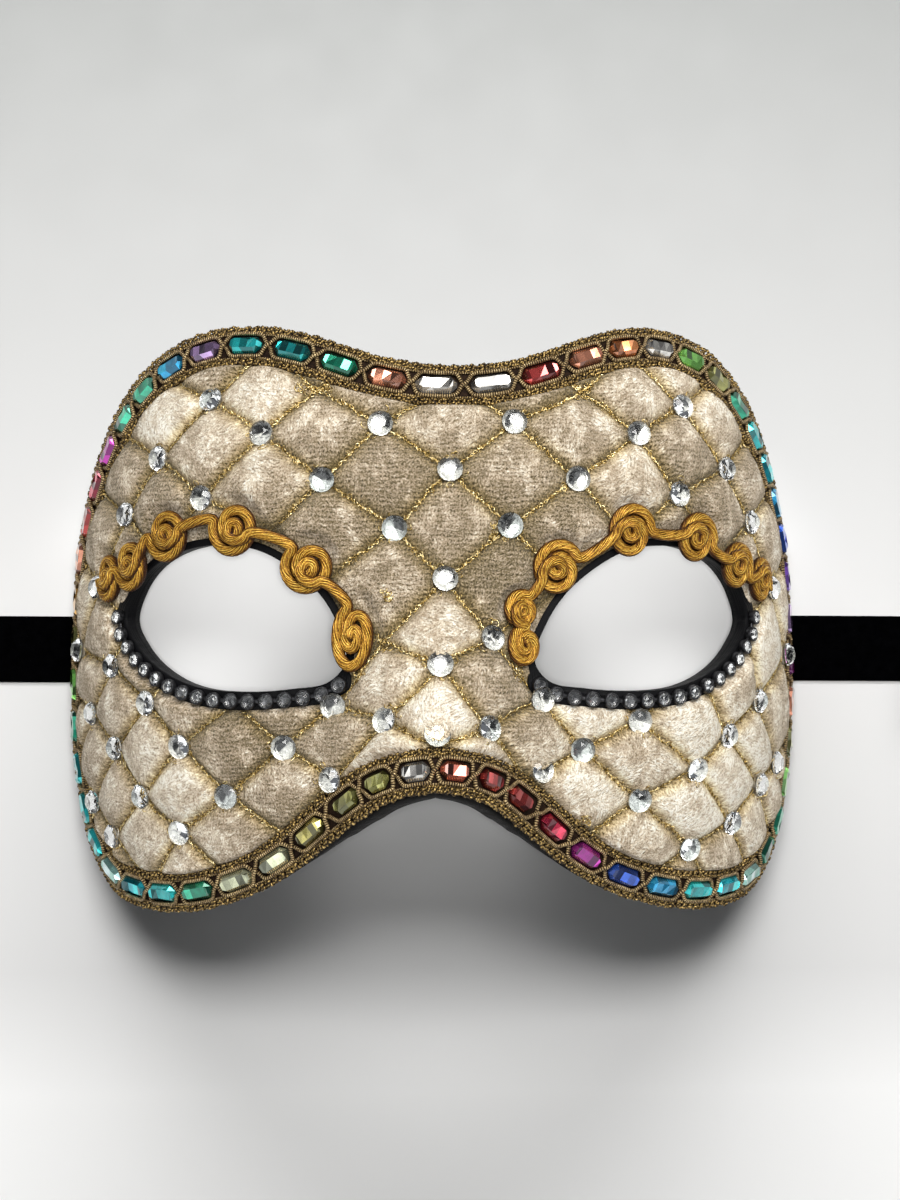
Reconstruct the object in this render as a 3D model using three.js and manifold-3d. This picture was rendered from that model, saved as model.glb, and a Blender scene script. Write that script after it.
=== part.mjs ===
// A half mask of the carnival kind: a papier-mache shell in quilted velvet, edged with a jewelled
// braid, with bound eye openings, scrolled gimp, stone chains, glued stones and two tie ribbons.
// It lies on its two temple edges with the face up. Millimetres. +Z is out of the face, +Y is
// towards the forehead and +X is to the viewer's right. The origin is on the surface it lies on.
import * as THREE from "three";
import { mergeVertices } from "three/addons/utils/BufferGeometryUtils.js";
import Module from "manifold-3d";

const wasm = await Module();
wasm.setup();

// Form of the face, measured along the velvet from the middle line
const BROW_HEIGHT = 57;
const WRAP_SLOPE = THREE.MathUtils.degToRad(74);
const WRAP_REACH = 73;
const WRAP_POWER = 2.3;
const LEAN = 0.15;
const REST_MIDDLE_Y = -13;
const SIDE_REACH = 115;
const FOREHEAD_CURL = 0.004;
const CHEEK_CURL = 0.003;
const CHEEK_TAPER = 0.00035;

// The hand-laid middle runs a little askew, to the right at the brow and to the left at the nose
const SKEW = 0.053;
const SKEW_REACH = 48;

// Nose and eye sockets
const NOSE_TOP_Y = 14;
const NOSE_LENGTH = 50;
const NOSE_RISE = 19;
const NOSE_HALF_WIDTH = 9;
const SOCKET_DEPTH = 3;

// Layers, as heights from the seams of the velvet
const SHELL_OUTSIDE = -1.3;
const SHELL_THICKNESS = 2.6;
const VELVET_UNDERSIDE = -0.9;
const PUFF_HEIGHT = 1.6;
const PRESSED_HEIGHT = 0.3;
const PRESSED_REACH = 4.5;
const FLAT_VELVET = -0.3;
const TRIM_BASE = -0.85;
const BINDING_THICKNESS = 0.5;
const OVER_BINDING = 0;

// Trim
const BRAID_WIDTH = 9;
const BRAID_THICKNESS = 2.4;
const GEM_COUNT = 60;
const GEM_RISE = 0.9;
const GEM_HALF_SHARE = 0.29;
const GIMP_CORD = 2.1;
const ROSETTE = 5.3;
const CHAIN_PITCH = 4.2;
const CUP_DIAMETER = 3.4;
const STONE_DIAMETER = 5.6;
const STONE_HEIGHT = 1.7;
const STONE_BASE = 1.1;

// Quilting, laid by hand: the spacing of its columns, and the level of each row of crossings at
// the middle line from the brow down. The rows droop towards the sides, and more at the right cheek
const QUILT_ACROSS = 13.65;
const QUILT_LEVELS = [58, 47.5, 38.8, 28, 16.3, 4.3, -9.5, -21, -30, -40, -50.5, -61];
const QUILT_FIRST_ROW = -3;
const QUILT_CROWDING = 0.0004;
const BROW_DROOP = 0.0016;
const LEFT_CHEEK_DROOP = 0.0008;
const RIGHT_CHEEK_DROOP = 0.0019;
const QUILT_CUTS = 2;
const QUILT_SPAN = 17;

// Tie ribbons
const RIBBON_WIDTH = 16;
const RIBBON_THICKNESS = 0.4;
const RIBBON_Y = -12;
const RIBBON_LAYERS = 9;
const RIBBON_FOLD = 44;
const RIBBON_PITCH = 0.75;
const RIBBON_FOLDS_FROM = 118;
const RIBBON_END_CHAMFER = 1.5;
const RIBBON_GAP = 0.3;

// Half of the outline, across and up, from the middle of the forehead down the side to the nose
const BROW_LINE = [
  [0, 51.6],
  [8, 52],
  [18, 54.2],
  [28, 57.8],
  [38, 60.6],
  [49, 61.4],
  [60, 59.4],
  [70, 55.4],
  [80, 48.7],
  [90, 39.7],
  [99, 29],
  [107, 17.5],
];
const CHEEK_LINE = [
  [111, -47],
  [105.5, -56.2],
  [97.2, -63.4],
  [87, -69],
  [74, -71],
  [60, -70.6],
  [48, -68],
  [38, -64],
  [30, -59],
  [23, -53],
  [17, -47.6],
  [9.5, -42.2],
  [0, -40],
];

// One eye opening, anticlockwise from its outer corner
const EYE_LINE = [
  [79.5, -4.5],
  [76, 2],
  [69.5, 7.2],
  [60, 10.8],
  [50, 12],
  [41, 10.8],
  [33.5, 7],
  [27, 1.5],
  [22.8, -5],
  [20.5, -13],
  [24, -17.6],
  [33, -19.4],
  [45, -20],
  [56, -19],
  [66, -15.6],
  [74.5, -10.3],
];
const EYE_CENTRE = new THREE.Vector2(50, -4);

// Middles and half sizes of the gimp's rosettes round each eye, from the outer corner on the left
// and from the nose on the right. The hand that glued them laid the two eyes differently
const LEFT_ROSETTES = [
  [85, 5.2, 4.6, ROSETTE],
  [75.8, 7.8, ROSETTE, ROSETTE],
  [63.5, 14.5, ROSETTE, ROSETTE],
  [46.2, 15.8, ROSETTE, ROSETTE],
  [29.5, 7.5, ROSETTE, ROSETTE],
  [18.6, -7.4, 4.5, 7.2],
];
const RIGHT_ROSETTES = [
  [17, -5.5, 3.6, 8],
  [24.5, 7.5, ROSETTE, ROSETTE],
  [41.2, 15.5, ROSETTE, ROSETTE],
  [59, 14, ROSETTE, ROSETTE],
  [73, 7.8, ROSETTE, ROSETTE],
  [84, 4.6, 4.6, ROSETTE],
];

// Gems of the braid by number, and their distance along its middle, clockwise from the middle of
// the brow. The braid was eased round the nose and stretched along the straights
const GEM_PLACES = [
  [0, 8.5],
  [2, 31.2],
  [5, 60.2],
  [19, 202.7],
  [27, 287.4],
  [32, 327.8],
  [40, 415.9],
  [51, 528.6],
  [55, 567.9],
  [59, 610.5],
];

// The side profile as running sums of the slope along the velvet
const BEND_STEP = 0.5;
const bendAcross = [0];
const bendDrop = [0];
for (let k = 0; k < 600; k++) {
  const s = (k + 0.5) * BEND_STEP;
  const slope = WRAP_SLOPE * (1 - Math.exp(-((s / WRAP_REACH) ** WRAP_POWER)));
  bendAcross.push(bendAcross[k] + Math.cos(slope) * BEND_STEP);
  bendDrop.push(bendDrop[k] + Math.sin(slope) * BEND_STEP);
}

function readBend(table, s) {
  const place = Math.abs(s) / BEND_STEP;
  const k = Math.min(Math.floor(place), table.length - 2);
  return table[k] + (table[k + 1] - table[k]) * (place - k);
}

function seamPoint(s, y) {
  const along = Math.max(0, (NOSE_TOP_Y - y) / NOSE_LENGTH);
  const noseWidth = NOSE_HALF_WIDTH * (1 + Math.min(along, 1.2));
  const noseHeight = NOSE_RISE * Math.min(along, 1.3) ** 1.35;
  const nose = noseHeight * Math.exp(-(Math.abs(s / noseWidth) ** 2.2));
  const socket = SOCKET_DEPTH * Math.exp(-(((Math.abs(s) - 52) / 24) ** 2) - (y / 18) ** 2);
  const forehead = FOREHEAD_CURL * Math.max(0, y - 8) ** 2;
  const cheek = CHEEK_CURL * Math.max(0, -5 - y) ** 2;
  const lean = LEAN * (y - REST_MIDDLE_Y) * (s / SIDE_REACH) ** 2;
  const z = BROW_HEIGHT - readBend(bendDrop, s) + nose - socket - forehead - cheek - lean;
  const askew = SKEW * (y + 5) * Math.exp(-((s / SKEW_REACH) ** 2));
  const taper = 1 - CHEEK_TAPER * Math.max(0, -15 - y);
  return new THREE.Vector3(Math.sign(s) * readBend(bendAcross, s) * taper + askew, y, z);
}

// A point at a height above the velvet's seams, square to the surface
function facePoint(s, y, height) {
  const across = seamPoint(s + 1, y).sub(seamPoint(s - 1, y));
  const up = seamPoint(s, y + 1).sub(seamPoint(s, y - 1));
  return seamPoint(s, y).addScaledVector(across.cross(up).normalize(), height);
}

// How far round the side the surface meets the table at this y
function landing(y) {
  let near = 90;
  let far = 140;
  for (let k = 0; k < 30; k++) {
    const middle = (near + far) / 2;
    if (seamPoint(middle, y).z > 0.3) near = middle;
    else far = middle;
  }
  return near;
}

function smoothLoop(points, count) {
  const curve = new THREE.CatmullRomCurve3(
    points.map(([s, y]) => new THREE.Vector3(s, y, 0)),
    true,
    "centripetal",
  );
  return curve
    .getSpacedPoints(count)
    .slice(0, count)
    .map((p) => new THREE.Vector2(p.x, p.y));
}

function lengthOf(path) {
  let total = 0;
  for (let k = 1; k < path.length; k++) total += path[k].distanceTo(path[k - 1]);
  return total;
}

// The unbroken run of a loop whose points pass a test
function runOf(loop, test) {
  const start = loop.findIndex((p, k) => test(p) && !test(loop.at(k - 1)));
  const turned = [...loop.slice(start), ...loop.slice(0, start)];
  const end = turned.findIndex((p) => !test(p));
  return turned.slice(0, end);
}

// The same path as a number of evenly spaced points
function resample(path, closed, count) {
  const line = closed ? [...path, path[0]] : path;
  const step = lengthOf(line) / (closed ? count : count - 1);
  const spaced = [line[0].clone()];
  let walked = 0;
  for (let k = 1; k < line.length; k++) {
    const span = line[k].distanceTo(line[k - 1]);
    while (spaced.length < count && walked + span >= step * spaced.length - 1e-6) {
      const share = (step * spaced.length - walked) / span;
      spaced.push(line[k - 1].clone().lerp(line[k], share));
    }
    walked += span;
  }
  return spaced;
}

// A loop moved sideways, to the left of its direction for a positive distance
function offsetLoop(loop, distance) {
  return loop.map((p, k) => {
    const before = loop[(k + loop.length - 1) % loop.length];
    const after = loop[(k + 1) % loop.length];
    const side = after.clone().sub(before).normalize();
    const reach = typeof distance === "function" ? distance(p) : distance;
    return new THREE.Vector2(p.x - side.y * reach, p.y + side.x * reach);
  });
}

const restLine = [9, -2, -13, -24, -35].map((y) => [landing(y), y]);
const rightHalf = [...BROW_LINE, ...restLine, ...CHEEK_LINE];
const leftHalf = rightHalf
  .slice(1, -1)
  .reverse()
  .map(([s, y]) => [-s, y]);
// Clockwise, so that its inside is on the right
const outline = smoothLoop([...rightHalf, ...leftHalf], 208);
const eyeLoop = smoothLoop(EYE_LINE, 96);

// Distance from a centre to the furthest crossing of a loop in a direction
function reachOf(loop, centre, angle) {
  const dir = new THREE.Vector2(Math.cos(angle), Math.sin(angle));
  let best = 0;
  loop.forEach((a, k) => {
    const b = loop[(k + 1) % loop.length];
    const edge = b.clone().sub(a);
    const gap = a.clone().sub(centre);
    const turn = dir.cross(edge);
    if (Math.abs(turn) < 1e-9) return;
    const along = gap.cross(edge) / turn;
    const share = gap.cross(dir) / turn;
    if (share >= 0 && share < 1 && along > best) best = along;
  });
  return best;
}

function solidFrom(points, faces) {
  const flat = new Float32Array(points.length * 3);
  points.forEach((p, k) => p.toArray(flat, k * 3));
  const raw = new THREE.BufferGeometry();
  raw.setAttribute("position", new THREE.BufferAttribute(flat, 3));
  raw.setIndex(faces.flat());
  const merged = mergeVertices(raw, 1e-4);
  const index = merged.index.array;
  const kept = [];
  for (let k = 0; k < index.length; k += 3) {
    const [a, b, c] = [index[k], index[k + 1], index[k + 2]];
    if (a !== b && b !== c && a !== c) kept.push(a, b, c);
  }
  const mesh = new wasm.Mesh({
    numProp: 3,
    vertProperties: merged.getAttribute("position").array,
    triVerts: new Uint32Array(kept),
  });
  return new wasm.Manifold(mesh);
}

function quad(faces, a, b, c, d) {
  faces.push([a, b, c], [a, c, d]);
}

// A closed skin between an upper and a lower grid of points
function slab(rows, columns, pointAt, wraps = false) {
  const points = [];
  for (const layer of [1, 0]) {
    for (let r = 0; r < rows; r++) {
      for (let c = 0; c < columns; c++) points.push(pointAt(r, c, layer));
    }
  }
  const at = (r, c, layer) => (1 - layer) * rows * columns + r * columns + (c % columns);
  const faces = [];
  const last = wraps ? columns : columns - 1;
  for (let r = 0; r < rows - 1; r++) {
    for (let c = 0; c < last; c++) {
      quad(faces, at(r, c, 1), at(r, c + 1, 1), at(r + 1, c + 1, 1), at(r + 1, c, 1));
      quad(faces, at(r, c, 0), at(r + 1, c, 0), at(r + 1, c + 1, 0), at(r, c + 1, 0));
    }
  }
  for (let c = 0; c < last; c++) {
    const end = rows - 1;
    quad(faces, at(0, c, 0), at(0, c + 1, 0), at(0, c + 1, 1), at(0, c, 1));
    quad(faces, at(end, c, 1), at(end, c + 1, 1), at(end, c + 1, 0), at(end, c, 0));
  }
  if (!wraps) {
    for (let r = 0; r < rows - 1; r++) {
      const end = columns - 1;
      quad(faces, at(r, 0, 1), at(r + 1, 0, 1), at(r + 1, 0, 0), at(r, 0, 0));
      quad(faces, at(r, end, 0), at(r + 1, end, 0), at(r + 1, end, 1), at(r, end, 1));
    }
  }
  return { points, faces };
}

const RINGS = 5;

// Directions from the eye's centre: down the middle line, closer together over the nose, then
// round the outline by the nose wing and the outer corner of the eye, and back
function bearing(s, y) {
  const angle = Math.atan2(y - EYE_CENTRE.y, s - EYE_CENTRE.x);
  return angle < 0 ? angle + 2 * Math.PI : angle;
}
const spokes = [];
function fan(from, to, count) {
  for (let k = 0; k < count; k++) spokes.push(from + ((to - from) * k) / count);
}
const browAngle = bearing(0, BROW_LINE[0][1]);
const noseAngle = bearing(0, CHEEK_LINE[CHEEK_LINE.length - 1][1]);
const wingAngle = bearing(38, -63);
const cornerAngle = bearing(EYE_LINE[0][0], EYE_LINE[0][1]);
fan(browAngle, bearing(0, NOSE_TOP_Y), 4);
fan(bearing(0, NOSE_TOP_Y), noseAngle, 11);
fan(noseAngle, wingAngle, 7);
fan(wingAngle, cornerAngle, 9);
fan(cornerAngle, browAngle + 2 * Math.PI, 11);

// How far the outline, or the middle line if that is nearer, lies from the eye's centre
function reachToEdge(loop, angle) {
  const edge = reachOf(loop, EYE_CENTRE, angle);
  const middleLine = -EYE_CENTRE.x / Math.cos(angle);
  return Math.cos(angle) < 0 && middleLine <= edge * 1.0001 ? middleLine : edge;
}

// The face as a plate of two mirrored halves, each in rings round its eye opening. Plates given
// the same ring edges share their facets, so the layers lie evenly on one another.
function facePlate(outerLoop, eyeGap, below, above, ringEdges) {
  const eyeReach = typeof eyeGap === "function" ? (p) => -eyeGap(p) : -eyeGap;
  const opening = offsetLoop(eyeLoop, eyeReach);
  const [ringInner, ringOuter] = ringEdges ?? [opening, outerLoop];
  const points = [];
  const faces = [];
  for (const side of [1, -1]) {
    const half = slab(
      RINGS,
      spokes.length,
      (r, c, layer) => {
        const angle = spokes[side > 0 ? c : spokes.length - 1 - c];
        const share = r / (RINGS - 1);
        const start = reachOf(ringInner, EYE_CENTRE, angle);
        const ring = start + (reachToEdge(ringOuter, angle) - start) * share;
        const inner = reachOf(opening, EYE_CENTRE, angle);
        const reach = THREE.MathUtils.clamp(ring, inner, reachToEdge(outerLoop, angle));
        let s = EYE_CENTRE.x + Math.cos(angle) * reach;
        if (Math.abs(s) < 1e-3) s = 0;
        const y = EYE_CENTRE.y + Math.sin(angle) * reach;
        const point = facePoint(side * s, y, layer ? above : below);
        point.onMiddle = s === 0;
        return point;
      },
      true,
    );
    const first = points.length;
    points.push(...half.points);
    for (const face of half.faces) {
      const onMiddle = face.every((k) => half.points[k].onMiddle);
      if (!onMiddle) faces.push([face[0] + first, face[2] + first, face[1] + first]);
    }
  }
  return solidFrom(points, faces);
}

// A strip along a loop or a path, its section given across and above the surface
function strip(path, closed, sectionAt, side = 1) {
  const points = [];
  const faces = [];
  const size = sectionAt(0, path[0]).length;
  path.forEach((p, k) => {
    const before = path[closed ? (k + path.length - 1) % path.length : Math.max(0, k - 1)];
    const after = path[closed ? (k + 1) % path.length : Math.min(path.length - 1, k + 1)];
    const along = after.clone().sub(before).normalize();
    for (const [across, height] of sectionAt(k, p)) {
      const s = p.x + along.y * across;
      const y = p.y - along.x * across;
      points.push(facePoint(side * s, y, height));
    }
  });
  const spans = closed ? path.length : path.length - 1;
  for (let k = 0; k < spans; k++) {
    const next = (k + 1) % path.length;
    for (let m = 0; m < size; m++) {
      const n = (m + 1) % size;
      quad(faces, k * size + m, k * size + n, next * size + n, next * size + m);
    }
  }
  if (!closed) {
    const end = (path.length - 1) * size;
    for (let m = 1; m < size - 1; m++) {
      faces.push([0, m + 1, m]);
      faces.push([end, end + m, end + m + 1]);
    }
  }
  return outward(points, faces);
}

// Turns the faces round where a section ran the other way
function outward(points, faces) {
  const made = solidFrom(points, faces);
  if (made.volume() > 0) return made;
  return solidFrom(
    points,
    faces.map(([a, b, c]) => [a, c, b]),
  );
}

// A low stud square to the surface: a foot ring and a smaller table
function stud(s, y, foot, top, low, high, sides, turn = 0, stretch = [1, 1]) {
  const centre = facePoint(s, y, low);
  const normal = facePoint(s, y, low + 1).sub(centre);
  const across = facePoint(s + 0.5, y, low).sub(facePoint(s - 0.5, y, low)).normalize();
  const up = normal.clone().cross(across);
  const points = [];
  for (const [radius, height] of [
    [foot, 0],
    [top, high - low],
  ]) {
    for (let k = 0; k < sides; k++) {
      const angle = ((k + 0.5) * 2 * Math.PI) / sides;
      const a = Math.cos(angle) * radius * stretch[0];
      const b = Math.sin(angle) * radius * stretch[1];
      const point = centre.clone();
      point.addScaledVector(across, a * Math.cos(turn) - b * Math.sin(turn));
      point.addScaledVector(up, a * Math.sin(turn) + b * Math.cos(turn));
      points.push(point.addScaledVector(normal, height));
    }
  }
  const faces = [];
  for (let k = 0; k < sides; k++) {
    const n = (k + 1) % sides;
    quad(faces, k, n, sides + n, sides + k);
  }
  for (let k = 1; k < sides - 1; k++) {
    faces.push([0, k + 1, k]);
    faces.push([sides, sides + k, sides + k + 1]);
  }
  return outward(points, faces);
}

function block(x0, x1, y0, y1, z0, z1) {
  const box = new THREE.BoxGeometry(x1 - x0, y1 - y0, z1 - z0);
  box.translate((x0 + x1) / 2, (y0 + y1) / 2, (z0 + z1) / 2);
  box.deleteAttribute("normal");
  box.deleteAttribute("uv");
  const merged = mergeVertices(box);
  const points = [];
  const position = merged.getAttribute("position");
  for (let k = 0; k < position.count; k++) {
    points.push(new THREE.Vector3().fromBufferAttribute(position, k));
  }
  const index = Array.from(merged.index.array);
  const faces = [];
  for (let k = 0; k < index.length; k += 3) faces.push(index.slice(k, k + 3));
  return solidFrom(points, faces);
}

// The level of a row at the middle line, also between rows and past the last ones
function rowLevel(j) {
  const row = j - QUILT_FIRST_ROW;
  const k = THREE.MathUtils.clamp(Math.floor(row), 0, QUILT_LEVELS.length - 2);
  return QUILT_LEVELS[k] + (QUILT_LEVELS[k + 1] - QUILT_LEVELS[k]) * (row - k);
}

// A crossing of the quilting, by its column and row
function crossing(i, j) {
  const level = rowLevel(j);
  const lowered = THREE.MathUtils.smoothstep(-level, -10, 20);
  const pulled = 8.5 * (1 - Math.exp(-((i / 2.1) ** 2))) * lowered;
  const even = QUILT_ACROSS * i - Math.sign(i) * pulled;
  const s = even * (1 - QUILT_CROWDING * Math.abs(even));
  const overNose = 0.24 * Math.max(0, 4 - level) * Math.exp(-((s / 14) ** 2));
  const cheekDroop = s < 0 ? LEFT_CHEEK_DROOP : RIGHT_CHEEK_DROOP;
  const droop = THREE.MathUtils.lerp(BROW_DROOP, cheekDroop, lowered);
  return new THREE.Vector2(s, level + overNose - droop * s * s);
}

// Whether something of this half width would touch a rosette of the gimp
function besideRosette(p, foot) {
  return (p.x < 0 ? LEFT_ROSETTES : RIGHT_ROSETTES).some(([s, y, wide, tall]) => {
    const across = (Math.abs(p.x) - s) / (wide * 0.92 + foot);
    return Math.hypot(across, (p.y - y) / (tall * 0.92 + foot)) < 1;
  });
}

const group = new THREE.Group();
group.name = "carnival_half_mask";

function place(name, solid, material) {
  const cut = solid.getMesh();
  const geometry = new THREE.BufferGeometry();
  geometry.setAttribute("position", new THREE.BufferAttribute(cut.vertProperties, 3));
  geometry.setIndex(new THREE.BufferAttribute(cut.triVerts, 1));
  const mesh = new THREE.Mesh(geometry, material);
  mesh.name = name;
  group.add(mesh);
}

function paint(colour, roughness, metalness) {
  return new THREE.MeshStandardMaterial({ color: colour, roughness, metalness });
}

const blackCard = paint(0x14110f, 0.7, 0);
const velvet = paint(0xb8a88c, 0.85, 0);
const goldBraid = paint(0xa8834a, 0.5, 0.5);
const goldGimp = paint(0xc08a2a, 0.45, 0.5);
const blackSatin = paint(0x0c0b0c, 0.4, 0);
const cutGlass = paint(0xd8dde2, 0.1, 0.2);
const ribbonSatin = paint(0x0a0a0c, 0.35, 0);

// Shell: it stands a little past the braid where it meets the table, and is cut flat there
const shellEdge = offsetLoop(outline, (p) => {
  const nearRest = Math.abs(p.x) > 100 ? 1 : 0;
  const fromMiddle = Math.abs(p.y - REST_MIDDLE_Y);
  return 0.2 + 1.8 * nearRest * (1 - THREE.MathUtils.smoothstep(fromMiddle, 20, 27));
});
const HOLE_GAP = 1.1;
const ringEdges = [offsetLoop(eyeLoop, -HOLE_GAP), shellEdge];
const shellInside = SHELL_OUTSIDE - SHELL_THICKNESS;
let shell = facePlate(shellEdge, HOLE_GAP, shellInside, SHELL_OUTSIDE, ringEdges);
shell = shell.subtract(block(-120, 120, -60, 60, -20, 0));
const notch = RIBBON_WIDTH / 2 + 0.8;
shell = shell.subtract(block(-120, 120, RIBBON_Y - notch, RIBBON_Y + notch, -20, 1));
place("mask_shell", shell, blackCard);

// 0 on the lower rim of the eye, 1 on the upper rim under the gimp
function upperRim(p) {
  const high = p.y + 8.4 - 0.246 * (p.x - EYE_CENTRE.x);
  return THREE.MathUtils.smoothstep(high, -1.5, 1.5);
}

// Velvet cover: puffed diamonds between the stitched lines, pressed down beside the gimp's
// rosettes, and a flat margin under the gimp
const quilt = slab(QUILT_SPAN * QUILT_CUTS + 1, QUILT_SPAN * QUILT_CUTS + 1, (r, c, layer) => {
  const a = r / QUILT_CUTS - 7;
  const b = c / QUILT_CUTS - 10;
  const spot = crossing(a + b, a - b);
  const onSeam = r % QUILT_CUTS === 0 || c % QUILT_CUTS === 0;
  const top = onSeam ? 0 : besideRosette(spot, PRESSED_REACH) ? PRESSED_HEIGHT : PUFF_HEIGHT;
  return facePoint(spot.x, spot.y, layer ? top : VELVET_UNDERSIDE - 1.5);
});
const puffed = outward(quilt.points, quilt.faces);
const puffEdge = offsetLoop(outline, -BRAID_WIDTH - 0.4);
const puffEyeGap = (p) => 4.4 + 5.2 * upperRim(p);
let cover = puffed.intersect(facePlate(puffEdge, puffEyeGap, VELVET_UNDERSIDE, 6, ringEdges));
const eyeCoarse = eyeLoop.filter((p, k) => k % 3 === 0);
const upperPath = runOf(eyeCoarse, (p) => upperRim(p) > 0.6);
for (const side of [-1, 1]) {
  const margin = strip(
    upperPath,
    false,
    () => [
      [2, VELVET_UNDERSIDE],
      [11, VELVET_UNDERSIDE],
      [11, FLAT_VELVET],
      [2, FLAT_VELVET],
    ],
    side,
  );
  cover = cover.add(margin);
}
place("velvet_cover", cover, velvet);

// Outer braid with its long gems
const braidMiddle = offsetLoop(outline, -BRAID_WIDTH * 0.53);
const aroundBraid = [0];
outline.forEach((p, k) => {
  const next = braidMiddle[(k + 1) % outline.length];
  aroundBraid.push(aroundBraid[k] + next.distanceTo(braidMiddle[k]));
});
const braidLength = aroundBraid[outline.length];

// The point of the outline beside a gem, or a share of the way on to the next gem
function besideGem(number) {
  const places = [...GEM_PLACES, [GEM_COUNT, GEM_PLACES[0][1] + braidLength]];
  const turned = (number + GEM_COUNT) % GEM_COUNT;
  const k = places.findIndex(([gem]) => gem > turned) - 1;
  const share = (turned - places[k][0]) / (places[k + 1][0] - places[k][0]);
  const distance = THREE.MathUtils.lerp(places[k][1], places[k + 1][1], share) % braidLength;
  const m = aroundBraid.findIndex((walked) => walked > distance) - 1;
  const rest = (distance - aroundBraid[m]) / (aroundBraid[m + 1] - aroundBraid[m]);
  return outline[m].clone().lerp(outline[(m + 1) % outline.length], rest);
}
const braidLine = [];
for (let gem = 0; gem < GEM_COUNT; gem++) {
  for (const share of [-0.5, -GEM_HALF_SHARE, GEM_HALF_SHARE]) {
    braidLine.push(besideGem(gem + share));
  }
}
const braid = strip(braidLine, true, (k) => {
  const top = TRIM_BASE + BRAID_THICKNESS + (k % 3 === 0 ? 0 : GEM_RISE);
  return [
    [0.4, TRIM_BASE],
    [BRAID_WIDTH, TRIM_BASE],
    [BRAID_WIDTH * 0.76, top],
    [BRAID_WIDTH * 0.24, top],
  ];
});
place("outer_braid", braid, goldBraid);

// Round each eye: binding, gimp with its rosettes, and stone chain
const gimpLine = runOf(offsetLoop(eyeLoop, -4.8), (p) => upperRim(p) > 0.9);
const chainLine = runOf(offsetLoop(eyeLoop, -2.1), (p) => upperRim(p) < 0.05);
for (const [side, name, rosettes] of [
  [-1, "left", LEFT_ROSETTES],
  [1, "right", RIGHT_ROSETTES],
]) {
  const binding = strip(
    eyeCoarse,
    true,
    (k, p) => {
      const lap = 4 - 2.3 * upperRim(p);
      return [
        [0, shellInside - 0.3],
        [BINDING_THICKNESS, shellInside - 0.3],
        [BINDING_THICKNESS, TRIM_BASE],
        [lap, TRIM_BASE],
        [lap, TRIM_BASE + BINDING_THICKNESS],
        [0, TRIM_BASE + BINDING_THICKNESS],
      ];
    },
    side,
  );
  place("eye_binding_" + name, binding, blackSatin);

  const gimpPath = resample(gimpLine, false, 8);
  let gimp = strip(
    gimpPath,
    false,
    () => [
      [-GIMP_CORD / 2, OVER_BINDING],
      [GIMP_CORD / 2, OVER_BINDING],
      [GIMP_CORD / 2, OVER_BINDING + 1.6],
      [-GIMP_CORD / 2, OVER_BINDING + 1.6],
    ],
    side,
  );
  for (const [s, y, wide, tall] of rosettes) {
    const top = OVER_BINDING + GIMP_CORD;
    const low = OVER_BINDING + 0.2;
    const sides = wide < ROSETTE ? 6 : 7;
    gimp = gimp.add(stud(side * s, y, 1, 0.8, low, top, sides, 0, [wide, tall]));
  }
  place("eye_gimp_" + name, gimp, goldGimp);

  const cups = Math.round(lengthOf(chainLine) / CHAIN_PITCH);
  const chain = strip(
    resample(chainLine, false, cups * 3 + 1),
    false,
    (k) => {
      const half = k % 3 === 0 ? 0.7 : CUP_DIAMETER / 2;
      const high = k % 3 === 0 ? 0.7 : 1.9;
      return [
        [-half, OVER_BINDING],
        [half, OVER_BINDING],
        [half * 0.8, OVER_BINDING + high],
        [-half * 0.8, OVER_BINDING + high],
      ];
    },
    side,
  );
  place("cup_chain_" + name, chain, cutGlass);
}

// Glued stones, one on each open crossing of the quilting
let stoneCount = 0;
const clearOf = (p, line) => Math.min(...line.map((q) => q.distanceTo(p)));
for (let j = -3; j <= 9; j++) {
  for (let i = -9; i <= 9; i++) {
    if ((i + j) % 2 !== 0) continue;
    const p = crossing(i, j);
    const right = new THREE.Vector2(Math.abs(p.x), p.y);
    const foot = STONE_DIAMETER / 2;
    const angle = bearing(right.x, right.y);
    if (right.distanceTo(EYE_CENTRE) > reachOf(outline, EYE_CENTRE, angle)) continue;
    if (clearOf(right, outline) < BRAID_WIDTH + foot - 1.1) continue;
    if (right.distanceTo(EYE_CENTRE) < reachOf(eyeLoop, EYE_CENTRE, angle)) continue;
    if (clearOf(right, gimpLine) < GIMP_CORD / 2 + foot || besideRosette(p, foot)) continue;
    if (clearOf(right, chainLine) < CUP_DIAMETER / 2 + foot + 0.1) continue;
    stoneCount += 1;
    const top = STONE_BASE + STONE_HEIGHT;
    const stone = stud(p.x, p.y, foot, foot * 0.6, STONE_BASE, top, 6);
    place("stone_" + String(stoneCount).padStart(2, "0"), stone, cutGlass);
  }
}

// Tie ribbons: glued inside the temple, passed under the edge and laid out on the table
function ribbonPath(y) {
  const edge = landing(y);
  const path = [];
  for (const back of [15, 9, 4]) {
    const p = facePoint(edge - back, y, shellInside - 0.5 - RIBBON_THICKNESS / 2);
    path.push([p.x, p.z]);
  }
  const [x, z] = path[path.length - 1];
  const flat = RIBBON_THICKNESS / 2;
  path.push([x + 0.4, z - 1.3], [x + 0.95, 0.35], [x + 2.4, flat], [94, flat]);
  path.push([RIBBON_FOLDS_FROM - RIBBON_GAP, flat]);
  return path;
}

// The path moved to one face of the ribbon
function ribbonFace(path, offset) {
  return path.map(([x, z], k) => {
    const before = path[Math.max(0, k - 1)];
    const after = path[Math.min(path.length - 1, k + 1)];
    const along = new THREE.Vector2(after[0] - before[0], after[1] - before[1]).normalize();
    return [x - along.y * offset, z + along.x * offset];
  });
}

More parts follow.
